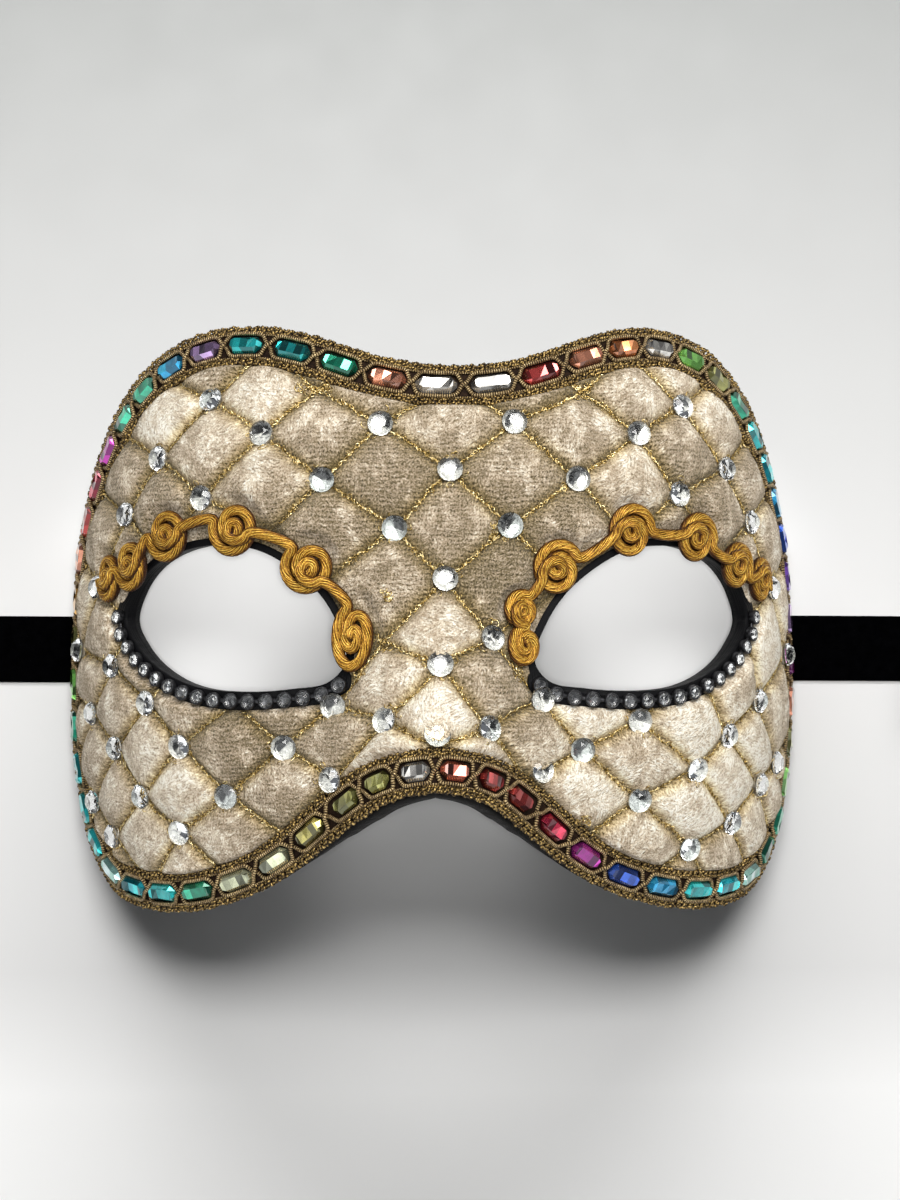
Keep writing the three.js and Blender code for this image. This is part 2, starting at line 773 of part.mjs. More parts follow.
for (const [side, name] of [
  [-1, "left"],
  [1, "right"],
]) {
  const edges = [RIBBON_Y - RIBBON_WIDTH / 2, RIBBON_Y + RIBBON_WIDTH / 2];
  const sheets = [-0.5, 0.5].map((share) =>
    edges.map((y) => ribbonFace(ribbonPath(y), share * RIBBON_THICKNESS)),
  );
  const count = sheets[0][0].length;
  const ribbon = slab(count, 2, (r, c, layer) => {
    const [x, z] = sheets[layer][c][r];
    return new THREE.Vector3(side * x, edges[c], Math.max(0, z));
  });
  place("ribbon_" + name, outward(ribbon.points, ribbon.faces), ribbonSatin);

  // The rest of its length, folded to and fro in a flat stack
  const stackHeight = RIBBON_LAYERS * RIBBON_PITCH;
  const stack = slab(4, 2, (r, c, layer) => {
    const atEnd = r === 0 || r === 3;
    const reach = [0, RIBBON_END_CHAMFER, RIBBON_FOLD - RIBBON_END_CHAMFER, RIBBON_FOLD][r];
    const trimmed = atEnd ? RIBBON_END_CHAMFER : 0;
    const z = layer ? stackHeight - trimmed : trimmed;
    return new THREE.Vector3(side * (RIBBON_FOLDS_FROM + reach), edges[c], z);
  });
  place("ribbon_" + name + "_folds", outward(stack.points, stack.faces), ribbonSatin);
}

// The origin is in the middle of the mask's footprint
const footprint = new THREE.Box3().setFromObject(group);
group.position.y = -(footprint.min.y + footprint.max.y) / 2;

export default group;
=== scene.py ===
"""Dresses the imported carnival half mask: quilted crushed velvet with gold stitching, glued glass
stones, a jewelled braid, scrolled gimp, bound eye openings with stone chains, and tie ribbons.
Lengths are in millimetres until a mesh is made; places on the face are (s, y): the distance from
the middle line measured along the velvet, and the height towards the forehead."""

import math
import random

import bmesh
import bpy
import numpy as np
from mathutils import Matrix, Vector


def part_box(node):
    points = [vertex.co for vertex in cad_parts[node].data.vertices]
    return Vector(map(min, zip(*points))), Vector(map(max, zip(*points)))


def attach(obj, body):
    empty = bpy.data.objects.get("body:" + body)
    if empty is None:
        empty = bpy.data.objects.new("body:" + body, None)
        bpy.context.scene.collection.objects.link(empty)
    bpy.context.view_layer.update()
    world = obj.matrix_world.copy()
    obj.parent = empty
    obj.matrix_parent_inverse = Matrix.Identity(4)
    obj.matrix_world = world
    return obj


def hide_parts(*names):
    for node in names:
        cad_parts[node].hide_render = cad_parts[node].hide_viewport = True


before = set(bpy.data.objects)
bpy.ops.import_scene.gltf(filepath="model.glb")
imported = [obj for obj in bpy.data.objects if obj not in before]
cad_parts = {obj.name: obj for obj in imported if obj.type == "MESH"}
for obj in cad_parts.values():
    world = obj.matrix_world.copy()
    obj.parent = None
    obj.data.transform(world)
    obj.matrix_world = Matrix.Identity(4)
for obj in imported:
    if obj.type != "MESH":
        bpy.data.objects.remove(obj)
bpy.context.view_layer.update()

# The form of the face and the layers on it, as in the part
BROW_HEIGHT = 57.0
WRAP_SLOPE = math.radians(74)
WRAP_REACH = 73.0
WRAP_POWER = 2.3
LEAN = 0.15
REST_MIDDLE_Y = -13.0
SIDE_REACH = 115.0
FOREHEAD_CURL = 0.004
CHEEK_CURL = 0.003
CHEEK_TAPER = 0.00035
SKEW = 0.053
SKEW_REACH = 48.0
NOSE_TOP_Y = 14.0
NOSE_LENGTH = 50.0
NOSE_RISE = 19.0
NOSE_HALF_WIDTH = 9.0
SOCKET_DEPTH = 3.0
SHELL_OUTSIDE = -1.3
SHELL_INSIDE = -3.9
PUFF_HEIGHT = 2.4
BRAID_WIDTH = 9.0
GEM_COUNT = 60
CHAIN_PITCH = 4.2
RIBBON_WIDTH = 16.0
RIBBON_Y = -12.0
RIBBON_THICKNESS = 0.34
RIBBON_LAYERS = 9
RIBBON_FOLD = 44.0
RIBBON_PITCH = 0.75
RIBBON_FOLDS_FROM = 118.0

QUILT_ACROSS = 13.65
QUILT_LEVELS = np.array([58, 47.5, 38.8, 28, 16.3, 4.3, -9.5, -21, -30, -40, -50.5, -61])
QUILT_FIRST_ROW = -3
QUILT_CROWDING = 0.0004
BROW_DROOP = 0.0016
LEFT_CHEEK_DROOP = 0.0008
RIGHT_CHEEK_DROOP = 0.0019

BROW_LINE = [[0, 51.6], [8, 52], [18, 54.2], [28, 57.8], [38, 60.6], [49, 61.4], [60, 59.4],
             [70, 55.4], [80, 48.7], [90, 39.7], [99, 29], [107, 17.5]]
CHEEK_LINE = [[111, -47], [105.5, -56.2], [97.2, -63.4], [87, -69], [74, -71], [60, -70.6],
              [48, -68], [38, -64], [30, -59], [23, -53], [17, -47.6], [9.5, -42.2], [0, -40]]
EYE_LINE = [[79.5, -4.5], [76, 2], [69.5, 7.2], [60, 10.8], [50, 12], [41, 10.8], [33.5, 7],
            [27, 1.5], [22.8, -5], [20.5, -13], [24, -17.6], [33, -19.4], [45, -20], [56, -19],
            [66, -15.6], [74.5, -10.3]]
EYE_CENTRE = np.array([50.0, -4.0])

# Middles and half sizes of the gimp's rosettes, from the outer corner of the eye to the nose
LEFT_ROSETTES = [(85, 5.0, 4.8, 5.6), (75.6, 7.6, 5.5, 5.7), (63.5, 14.3, 5.8, 5.8),
                 (46.2, 15.5, 5.5, 5.9), (29.5, 7.2, 5.6, 5.9), (18.8, -7.8, 4.6, 7.7)]
RIGHT_ROSETTES = [(84, 4.4, 4.8, 5.6), (73, 7.6, 5.5, 5.7), (59, 13.8, 5.6, 5.8),
                  (41.2, 15.2, 5.6, 5.9), (24.5, 7.2, 5.6, 5.9), (16.6, -1.9, 3.9, 4.2),
                  (17.4, -9.6, 3.7, 4.7)]

# Gems by number, and their distance along the middle of the braid
GEM_PLACES = [(0, 8.5), (2, 31.2), (5, 60.2), (19, 202.7), (27, 287.4), (32, 327.8),
              (40, 415.9), (51, 528.6), (55, 567.9), (59, 610.5)]

ribbon_low, ribbon_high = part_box("ribbon_left")
SHIFT_Y = (ribbon_low.y + ribbon_high.y) * 500 - RIBBON_Y


def smoothstep(x, low, high):
    t = np.clip((np.asarray(x, float) - low) / (high - low), 0, 1)
    return t * t * (3 - 2 * t)


def unit(vectors):
    return vectors / (np.linalg.norm(vectors, axis=-1, keepdims=True) + 1e-12)


def walk(line):
    """The distance along a line of each of its points."""
    return np.concatenate([[0], np.cumsum(np.linalg.norm(np.diff(line, axis=0), axis=1))])


# The face's bend round the head, as running sums of short steps across
BEND_STEP = 0.5
BEND_STEPS = 600
bend_s = (np.arange(BEND_STEPS) + 0.5) * BEND_STEP
bend_slope = WRAP_SLOPE * (1 - np.exp(-((bend_s / WRAP_REACH) ** WRAP_POWER)))
BEND_AT = np.arange(BEND_STEPS + 1) * BEND_STEP
BEND_ACROSS = np.concatenate([[0], np.cumsum(np.cos(bend_slope) * BEND_STEP)])
BEND_DROP = np.concatenate([[0], np.cumsum(np.sin(bend_slope) * BEND_STEP)])


def seam_point(s, y):
    """The place of (s, y) on the plain face, under the quilting."""
    s, y = np.broadcast_arrays(np.asarray(s, float), np.asarray(y, float))
    along = np.maximum(0, (NOSE_TOP_Y - y) / NOSE_LENGTH)
    nose_width = NOSE_HALF_WIDTH * (1 + np.minimum(along, 1.2))
    nose_height = NOSE_RISE * np.minimum(along, 1.3) ** 1.35
    nose = nose_height * np.exp(-(np.abs(s / nose_width) ** 2.2))
    socket = SOCKET_DEPTH * np.exp(-(((np.abs(s) - 52) / 24) ** 2) - (y / 18) ** 2)
    forehead = FOREHEAD_CURL * np.maximum(0, y - 8) ** 2
    cheek = CHEEK_CURL * np.maximum(0, -5 - y) ** 2
    lean = LEAN * (y - REST_MIDDLE_Y) * (s / SIDE_REACH) ** 2
    drop = np.interp(np.abs(s), BEND_AT, BEND_DROP)
    z = BROW_HEIGHT - drop + nose - socket - forehead - cheek - lean
    askew = SKEW * (y + 5) * np.exp(-((s / SKEW_REACH) ** 2))
    taper = 1 - CHEEK_TAPER * np.maximum(0, -15 - y)
    x = np.sign(s) * np.interp(np.abs(s), BEND_AT, BEND_ACROSS) * taper + askew
    return np.stack([x, y, z], -1)


def face_normal(s, y):
    across = seam_point(np.add(s, 1), y) - seam_point(np.subtract(s, 1), y)
    up = seam_point(s, np.add(y, 1)) - seam_point(s, np.subtract(y, 1))
    return unit(np.cross(across, up))


def face_point(s, y, height):
    """The place at a height straight out from the plain face."""
    return seam_point(s, y) + face_normal(s, y) * np.asarray(height, float)[..., None]


def landing(y):
    """How far out from the middle line the face comes down to the table."""
    near, far = 90.0, 140.0
    for _ in range(30):
        middle = (near + far) / 2
        near, far = (middle, far) if seam_point(middle, y)[2] > 0.3 else (near, middle)
    return near


# Lines on the face
def soft_span(p0, p1, p2, p3, count):
    """Points from p1 on towards p2, on a soft line led by the points before and after."""
    d0, d1, d2 = (max(math.dist(a, b), 1e-3) ** 0.5 for a, b in ((p0, p1), (p1, p2), (p2, p3)))
    m1 = ((p1 - p0) / d0 - (p2 - p0) / (d0 + d1) + (p2 - p1) / d1) * d1
    m2 = ((p2 - p1) / d1 - (p3 - p1) / (d1 + d2) + (p3 - p2) / d2) * d1
    return [p1 + m1 * t + (3 * (p2 - p1) - 2 * m1 - m2) * t**2
            + (2 * (p1 - p2) + m1 + m2) * t**3 for t in np.arange(count) / count]


def even_loop(points, count):
    """A closed line through given points, as evenly spaced points."""
    pts = np.array(points, float)
    line = []
    for k in range(len(pts)):
        line += soft_span(*pts[np.arange(k - 1, k + 3) % len(pts)], 32)
    return resample(np.array(line + line[:1]), count + 1)[:-1]


def resample(line, count):
    walked = walk(line)
    spots = np.linspace(0, walked[-1], count)
    return np.stack([np.interp(spots, walked, column) for column in line.T], -1)


class Rail:
    """A line on the face that can be read at any distance along it and any offset to its right."""

    def __init__(self, points, closed, smooth=3):
        self.closed = closed
        pts = np.array(points, float)
        if closed:
            pts = np.concatenate([pts, pts[:1]])
        self.pts, self.at = pts, walk(pts)
        self.length = self.at[-1]
        n = len(pts) - 1
        before, after = np.arange(n + 1) - smooth, np.arange(n + 1) + smooth
        if closed:
            before, after = before % n, after % n
        else:
            before, after = np.maximum(before, 0), np.minimum(after, n)
        along = unit(pts[after] - pts[before])
        self.right = np.stack([along[:, 1], -along[:, 0]], -1)

    def read(self, distance, offset=0.0):
        d = np.asarray(distance, float)
        d = d % self.length if self.closed else np.clip(d, 0, self.length)
        place, right = (np.stack([np.interp(d, self.at, line[:, k]) for k in (0, 1)], -1)
                        for line in (self.pts, self.right))
        return place + right * np.asarray(offset, float)[..., None]


rest_line = [[landing(y), y] for y in (9, -2, -13, -24, -35)]
right_half = BROW_LINE + rest_line + CHEEK_LINE
left_half = [[-s, y] for s, y in right_half[1:-1][::-1]]
OUTLINE = even_loop(right_half + left_half, 1560)
EYE = even_loop(EYE_LINE, 480)
edge_rail = Rail(OUTLINE, True)
eye_rail = Rail(EYE, True)


def upper_rim(p):
    """0 on the lower rim of the eye, 1 on the upper rim under the gimp."""
    p = np.asarray(p, float)
    return smoothstep(p[..., 1] + 8.4 - 0.246 * (p[..., 0] - EYE_CENTRE[0]), -1.5, 1.5)


def depth_inside(loop, points):
    """Distance from each point to a loop, positive inside it."""
    a = loop
    b = np.roll(loop, -1, axis=0)
    out = np.empty(len(points))
    for start in range(0, len(points), 4000):
        p = points[start:start + 4000, None, :]
        edge = b - a
        share = np.clip(((p - a) * edge).sum(-1) / (edge**2).sum(-1), 0, 1)
        gap = np.linalg.norm(p - (a + edge * share[..., None]), axis=-1).min(1)
        crosses = (a[:, 1] > p[..., 1]) != (b[:, 1] > p[..., 1])
        rise = np.where(edge[:, 1] == 0, 1e-9, edge[:, 1])
        left_of = p[..., 0] < a[:, 0] + edge[:, 0] * (p[..., 1] - a[:, 1]) / rise
        inside = (crosses & left_of).sum(1) % 2 == 1
        out[start:start + 4000] = np.where(inside, gap, -gap)
    return out


def edge_depth(points):
    """Distance inside the mask's outer edge."""
    return depth_inside(OUTLINE[::4], points)


def on_right(points):
    """The same places on the right half of the face, whichever half they are on."""
    return np.c_[np.abs(points[:, 0]), points[:, 1]]


def eye_gap(points):
    """Distance outside the nearer eye opening."""
    return -depth_inside(EYE[::3], on_right(points))


# Quilting
def row_level(j):
    """Height of a row of crossings, also between rows."""
    row = np.asarray(j, float) - QUILT_FIRST_ROW
    k = np.clip(np.floor(row), 0, len(QUILT_LEVELS) - 2).astype(int)
    return QUILT_LEVELS[k] + (QUILT_LEVELS[k + 1] - QUILT_LEVELS[k]) * (row - k)


# Small shifts of single crossings, where the hand that laid them strayed
STRAYED = {(-1, -1): (-1.7, -0.5), (3, -1): (2.4, 0.3), (2, 0): (1.2, -0.6), (-2, 0): (0, -1),
           (-4, 0): (-0.6, -1.0), (-1, 1): (2.2, -0.5), (-4, -2): (0.9, 1.2), (4, -2): (1.5, 0.3),
           (5, -1): (2.6, -2.0), (-2, -2): (-2, -0.6), (2, -2): (2, -0.8), (1, 3): (-2.0, 0),
           (-1, 3): (-0.2, -0.8), (0, 4): (-0.2, 1.2), (1, 5): (-1.6, -0.9), (-1, 5): (0.9, 0.6),
           (0, 6): (-0.2, -1.0), (-2, 4): (-0.5, -1.9), (-3, 5): (-0.4, -0.9), (3, 5): (-1.5, -0.4),
           (-2, 6): (0, 1), (2, 6): (-1.7, 1), (4, 4): (-1, -1.5), (-4, 6): (-1.6, -1.2),
           (-5, 7): (-1.8, 1.6), (5, 7): (1.3, 1), (-5, 5): (-1.1, 0.5), (5, 5): (2, -1.4),
           (-6, 4): (1.6, 2.0), (-6, 6): (-1.2, -0.2), (6, 6): (2.2, -1.3), (6, 4): (-1.1, 0),
           (7, 5): (2, 0.4), (-7, 5): (1.4, 1.8), (-7, 7): (-1.8, 1.6), (7, 3): (-3, -0.4),
           (-7, 3): (3, 2.0), (-6, 0): (1.4, 1.4), (-3, 1): (3, 1.6), (-8, 4): (1.5, 2)}


def crossing(i, j):
    """Where column i and row j of the stitched lines cross; both are even or both odd."""
    level = float(row_level(j))
    lowered = float(smoothstep(-level, -10, 20))
    pulled = 8.5 * (1 - math.exp(-((i / 2.1) ** 2))) * lowered
    even = QUILT_ACROSS * i - math.copysign(pulled, i) * (i != 0)
    s = even * (1 - QUILT_CROWDING * abs(even))
    over_nose = 0.24 * max(0, 4 - level) * math.exp(-((s / 14) ** 2))
    cheek_droop = LEFT_CHEEK_DROOP if s < 0 else RIGHT_CHEEK_DROOP
    droop = BROW_DROOP + (cheek_droop - BROW_DROOP) * lowered
    ds, dy = STRAYED.get((i, j), (0, 0))
    return np.array([s + ds, level + over_nose - droop * s * s + dy])


NODES = {(i, j): crossing(i, j) for i in range(-10, 11) for j in range(-5, 11) if (i + j) % 2 == 0}


# Meshes
class Build:
    """Collects the points, faces, texture places and tints of one piece."""

    def __init__(self):
        self.points, self.faces, self.places, self.tints, self.count = [], [], [], [], 0

    def add(self, points, faces, places=None, tint=None):
        points = np.asarray(points, float).reshape(-1, 3)
        n = len(points)
        self.points.append(points)
        self.faces.extend([[k + self.count for k in f] for f in faces])
        self.places.append(np.zeros((n, 3)) if places is None
                           else np.asarray(places, float).reshape(-1, 3))
        self.tints.append(np.tile((1.0, 1.0, 1.0), (n, 1)) if tint is None
                          else np.broadcast_to(np.asarray(tint, float), (n, 3)))
        self.count += n


def make(name, build, material, smooth=True, replaces=()):
    points = np.concatenate(build.points)
    mesh = bpy.data.meshes.new(name)
    placed = (points + np.array([0, SHIFT_Y, 0])) / 1000
    mesh.from_pydata(placed.tolist(), [], build.faces)
    place = mesh.attributes.new("place", "FLOAT_VECTOR", "POINT")
    place.data.foreach_set("vector", np.concatenate(build.places).ravel())
    tint = mesh.attributes.new("tint", "FLOAT_COLOR", "POINT")
    colours = np.concatenate(build.tints)
    tint.data.foreach_set("color", np.c_[colours, np.ones(len(colours))].ravel())
    mesh.polygons.foreach_set("use_smooth", [smooth] * len(mesh.polygons))
    mesh.materials.append(material)
    mesh.update()
    piece = bpy.data.objects.new(name, mesh)
    bpy.context.scene.collection.objects.link(piece)
    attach(piece, "root")
    if replaces:
        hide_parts(*replaces)
    pieces.append(piece)
    return piece


def grid_faces(rows, columns, wraps=False, closed=False):
    """Faces of a grid of points; wraps joins its columns to a ring and closed joins its rows."""
    faces = []
    for r in range(rows if closed else rows - 1):
        here, there = r * columns, (r + 1) % rows * columns
        for c in range(columns if wraps else columns - 1):
            n = (c + 1) % columns
            faces.append([here + c, here + n, there + n, there + c])
    return faces


def end_faces(rows, columns):
    """The two faces that close the ends of a tube of rows."""
    return [list(range(columns))[::-1], [(rows - 1) * columns + c for c in range(columns)]]


def tube(build, line, ups, radius, sides, closed=False, flat=1.0, tint=None, start=0.0):
    """A round cord along a line; flat squashes it towards the surface it lies on."""
    line = np.asarray(line, float)
    n = len(line)
    if closed:
        along = unit(np.roll(line, -1, 0) - np.roll(line, 1, 0))
    else:
        along = unit(np.gradient(line, axis=0))
    side = unit(np.cross(along, ups))
    up = np.cross(side, along)
    angle = np.arange(sides) * 2 * math.pi / sides
    points = line[:, None] + radius * (side[:, None] * np.cos(angle)[None, :, None]
                                       + up[:, None] * np.sin(angle)[None, :, None] * flat)
    places = np.stack(np.broadcast_arrays(walk(line)[:, None] + start,
                                          angle[None, :] / (2 * math.pi), 0.0), -1)
    faces = grid_faces(n, sides, True, closed)
    if not closed:
        faces += end_faces(n, sides)
    build.add(points, [f[::-1] for f in faces], places, tint)


def on_face(sy, height):
    """Points and the way up, for a line of (s, y) places at a height."""
    return face_point(sy[:, 0], sy[:, 1], height), face_normal(sy[:, 0], sy[:, 1])


def polar(place, reach, angle, height):
    """The point at a reach and angle round a place on the face, and at a height over it."""
    centre, across, up, normal = place
    outward = across * math.cos(angle) + up * math.sin(angle)
    return centre + outward * reach + normal * height


# Materials
class Tree:
    """Short words for building a material's nodes."""

    def __init__(self, name):
        self.material = bpy.data.materials.new(name)
        self.material.use_nodes = True
        self.nodes = self.material.node_tree.nodes
        self.links = self.material.node_tree.links
        self.shader = self.nodes["Principled BSDF"]

    def feed(self, socket, value):
        if isinstance(value, bpy.types.NodeSocket):
            self.links.new(value, socket)
        elif value is not None:
            socket.default_value = value

    def set(self, node=None, **values):
        """Feeds inputs by name, of the shader or of another node."""
        for name, value in values.items():
            self.feed((node or self.shader).inputs[name.replace("_", " ")], value)

    def node(self, kind, **values):
        node = self.nodes.new("ShaderNode" + kind)
        self.set(node, **values)
        return node

    def attribute(self, name):
        node = self.node("Attribute")
        node.attribute_name = name
        return node.outputs["Vector"] if name == "place" else node.outputs["Color"]

    def object_place(self):
        return self.node("TexCoord").outputs["Object"]

    def stretch(self, vector, scale):
        return self.node("Mapping", Vector=vector, Scale=scale).outputs["Vector"]

    def turned(self, vector, degrees):
        turn = (0, 0, math.radians(degrees))
        return self.node("Mapping", Vector=vector, Rotation=turn).outputs["Vector"]

    def noise(self, vector, scale, detail=3.0, roughness=0.55, distortion=0.0):
        return self.node("TexNoise", Vector=vector, Scale=scale, Detail=detail, Roughness=roughness,
                         Distortion=distortion).outputs["Fac"]

    def cells(self, vector, feature):
        node = self.node("TexVoronoi", Vector=vector, Scale=1.0)
        node.feature = feature
        return node.outputs["Distance"]

    def split(self, vector):
        return self.node("SeparateXYZ", Vector=vector).outputs

    def math(self, operation, a, b=None, c=None):
        node = self.node("Math")
        node.operation = operation
        for socket, value in zip(node.inputs, (a, b, c)):
            self.feed(socket, value)
        return node.outputs["Value"]

    def add(self, a, b):
        return self.math("ADD", a, b)

    def minus(self, a, b):
        return self.math("SUBTRACT", a, b)

    def times(self, a, b):
        return self.math("MULTIPLY", a, b)

    def blend(self, share, a, b):
        return self.math("MULTIPLY_ADD", share, self.minus(b, a), a)

    def wave(self, value):
        """A sine, brought to 0 to 1."""
        return self.levels(self.math("SINE", value), -1, 1)

    def ramp(self, factor, stops):
        node = self.node("ValToRGB", Fac=factor)
        elements = node.color_ramp.elements
        while len(elements) < len(stops):
            elements.new(0.5)
        for element, (position, colour) in zip(elements, stops):
            element.position = position
            element.color = (*colour, 1)
        return node.outputs["Color"]

    def levels(self, value, low, high, to_low=0.0, to_high=1.0):
        return self.node("MapRange", Value=value, From_Min=low, From_Max=high, To_Min=to_low,
                         To_Max=to_high).outputs["Result"]

    def mix(self, factor, a, b, blend="MIX"):
        node = self.node("Mix")
        node.data_type = "RGBA"
        node.blend_type = blend
        self.feed(node.inputs["Factor"], factor)
        for socket, colour in ((node.inputs[6], a), (node.inputs[7], b)):
            self.feed(socket, colour if isinstance(colour, bpy.types.NodeSocket) else (*colour, 1))
        return node.outputs[2]

    def tinted(self, colour):
        """A colour multiplied by the mesh's own tint, which in the velvet, the gimp and the foils
        also holds painted shade or painted reflection.
        """
        return self.mix(1.0, colour, self.attribute("tint"), "MULTIPLY")

    def bump(self, height, distance, strength=1.0):
        node = self.node("Bump", Distance=distance / 1000, Strength=strength, Height=height)
        self.set(Normal=node.outputs["Normal"])


def velvet_material():
    t = Tree("crushed_velvet")
    place = t.attribute("place")
    # The place's third value is the pile's tone, with painted shade beside the braid, along the seams
    # and round the crossings
    pile_tone_and_shade = t.split(place)[2]
    face = t.stretch(place, (1, 1, 0))
    across, up, _ = t.split(face)
    drift = t.noise(t.stretch(face, (0.11, 0.11, 1)), 1.0, 2)
    # Weave of the ground: broken ribs across, with dark pinholes between its threads
    rows = t.add(t.times(up, 6.0), t.times(drift, 16.0))
    rib = t.wave(t.add(rows, t.times(t.noise(face, 0.7, 2), 5.0)))
    threads = t.add(t.times(across, 7.6), t.times(drift, 18.0))
    weave = t.wave(t.add(threads, t.times(t.noise(face, 1.0, 2), 6.0)))
    bare = t.levels(t.noise(face, 0.45, 3, 0.6), 0.36, 0.54)
    bare = t.times(bare, t.levels(pile_tone_and_shade, 0.42, 0.60, 1.0, 0.25))
    hole = t.levels(t.times(t.minus(1.0, rib), weave), 0.5, 0.85)
    hole = t.times(hole, bare)
    # Pile crushed flat in patches, where its fibres shine in short streaks that lie several ways
    patch = t.noise(t.stretch(face, (0.21, 0.17, 1)), 1.0, 5, 0.68, 0.5)
    crushed = t.add(t.levels(patch, 0.36, 0.64, 0.0, 0.72), t.times(pile_tone_and_shade, 1.3))
    crushed = t.levels(crushed, 0.82, 1.42)
    upright = t.noise(t.stretch(face, (2.5, 0.9, 1)), 1.0, 4, 0.7, 0.8)
    slanted, level = (t.noise(t.stretch(t.turned(face, degrees), (2.4, 0.8, 1)), 1.0, 4, 0.7, 0.8)
                      for degrees in (58, -75))
    fibre = t.blend(t.levels(t.noise(face, 0.09, 2), 0.44, 0.50), upright, slanted)
    fibre = t.blend(t.levels(t.noise(face, 0.11, 2), 0.50, 0.56), fibre, level)
    fibre = t.levels(fibre, 0.36, 0.64)
    speck = t.levels(t.noise(t.stretch(face, (2.6, 2.3, 1)), 1.0, 2, 0.6), 0.36, 0.64)
    dull = t.math("MULTIPLY_ADD", pile_tone_and_shade, 0.60, 0.07)
    for part, low, high in ((t.times(rib, bare), -0.03, 0.07), (speck, -0.17, 0.13),
                            (fibre, -0.11, 0.12)):
        dull = t.add(dull, t.levels(part, 0, 1, low, high))
    dull = t.minus(dull, t.times(hole, 0.19))
    bright = t.add(dull, t.times(crushed, t.add(0.10, t.times(fibre, 0.62))))
    colour = t.ramp(bright, [(0.0, (0.052, 0.037, 0.014)), (0.2, (0.19, 0.145, 0.075)),
                             (0.46, (0.49, 0.385, 0.275)), (0.72, (0.75, 0.655, 0.505)),
                             (0.95, (0.97, 0.93, 0.82))])
    t.set(Base_Color=t.tinted(colour))
    t.set(Roughness=t.levels(bright, 0.4, 1.0, 0.85, 0.5), Specular_IOR_Level=0.25)
    t.set(Sheen_Weight=0.22, Sheen_Roughness=0.35, Sheen_Tint=(1.0, 0.93, 0.80, 1))
    height = t.add(t.times(fibre, 0.55), t.times(speck, 0.3))
    t.bump(t.minus(height, t.times(hole, 0.3)), 0.4, 1.0)
    return t.material


def cord_material(name, dark, mid, light, metallic, roughness, ply, lean, depth):
    """Wrapped or twisted cord: grooves every ply millimetres, leaning round the cord, with painted
    shade in the grooves.
    """
    t = Tree(name)
    along, around, _ = t.split(t.attribute("place"))
    groove = t.wave(t.add(t.times(along, 2 * math.pi / ply), t.times(around, 2 * math.pi * lean)))
    place = t.object_place()
    speckle = t.noise(place, 2600, 2, 0.6)
    patch = t.noise(place, 330, 3, 0.6)
    # Painted shade: the colour darkens into each groove and lightens on the ridges between
    level = t.add(t.times(groove, 0.62), t.levels(speckle, 0.3, 0.7, -0.2, 0.3))
    level = t.add(level, t.levels(patch, 0.3, 0.7, -0.12, 0.15))
    colour = t.ramp(level, [(0.0, dark), (0.45, mid), (1.0, light)])
    colour = t.tinted(colour)
    t.set(Base_Color=colour, Metallic=metallic)
    t.set(Roughness=t.levels(groove, 0, 1, min(1, roughness + 0.25), roughness))
    t.bump(t.add(groove, t.times(speckle, 0.25)), depth, 1.0)
    return t.material


def black_material(name, colour, sheen, weave, roughness, gloss):
    """Black satin: a fine weave with a soft lustre."""
    t = Tree(name)
    along, across, _ = t.split(t.attribute("place"))
    warp = t.math("SINE", t.times(across, 2 * math.pi / weave))
    weft = t.math("SINE", t.times(along, 2 * math.pi / (weave * 1.7)))
    cloth = t.add(t.times(warp, 0.6), t.times(weft, 0.25))
    dust = t.noise(t.object_place(), 420, 4, 0.65)
    brighter = tuple(c * 3.2 for c in colour)
    shade = t.add(t.levels(dust, 0.35, 0.75, 0.0, 0.7), t.times(cloth, 0.08))
    t.set(Base_Color=t.mix(shade, colour, brighter))
    t.set(Roughness=t.levels(dust, 0.3, 0.7, roughness - 0.06, roughness + 0.12))
    t.set(Sheen_Weight=sheen, Sheen_Roughness=0.3, Specular_IOR_Level=gloss)
    t.bump(cloth, 0.05, 0.6)
    return t.material


def card_material():
    t = Tree("black_papier_mache")
    place = t.attribute("place")
    strips = t.stretch(place, (0.075, 0.045, 1))
    grain = t.noise(t.stretch(place, (0.9, 0.9, 1)), 1.0, 5, 0.65)
    brush = t.noise(t.stretch(place, (0.08, 0.7, 1)), 1.0, 4, 0.6, 0.5)
    seam = t.levels(t.cells(strips, "DISTANCE_TO_EDGE"), 0.0, 0.035)
    t.set(Base_Color=t.ramp(t.add(t.times(grain, 0.6), t.times(brush, 0.4)),
                            [(0.25, (0.004, 0.0037, 0.0035)), (0.6, (0.011, 0.010, 0.009)),
                             (0.85, (0.03, 0.027, 0.024))]))
    t.set(Roughness=t.levels(brush, 0.3, 0.7, 0.5, 0.78), Specular_IOR_Level=0.16)
    height = t.add(t.times(seam, 0.5), t.times(grain, 0.6))
    t.bump(t.add(height, t.times(t.cells(strips, "F1"), 0.5)), 0.35, 0.8)
    return t.material


def speckled(name, noise, stops, roughness, bump=None, tinted=False, **values):
    """A surface whose colour follows a fine speckle, and its roughness too where that is a pair."""
    t = Tree(name)
    speckle = t.noise(t.object_place(), *noise)
    colour = t.ramp(speckle, stops)
    if isinstance(roughness, tuple):
        roughness = t.levels(speckle, 0.3, 0.7, *roughness)
    t.set(Base_Color=t.tinted(colour) if tinted else colour, Roughness=roughness, **values)
    if bump:
        t.bump(speckle, *bump)
    return t.material


def gem_material():
    t = Tree("foiled_gem")
    cloud = t.noise(t.object_place(), 500, 2, 0.5)
    shade = t.levels(cloud, 0.35, 0.7, 0.0, 0.35)
    # The mesh's tint holds each facet's painted reflection
    t.set(Base_Color=t.mix(shade, t.attribute("tint"), (0.02, 0.02, 0.02)), Metallic=0.8)
    t.set(Roughness=t.levels(cloud, 0.3, 0.7, 0.08, 0.2), Coat_Weight=1.0, Coat_Roughness=0.03)
    return t.material


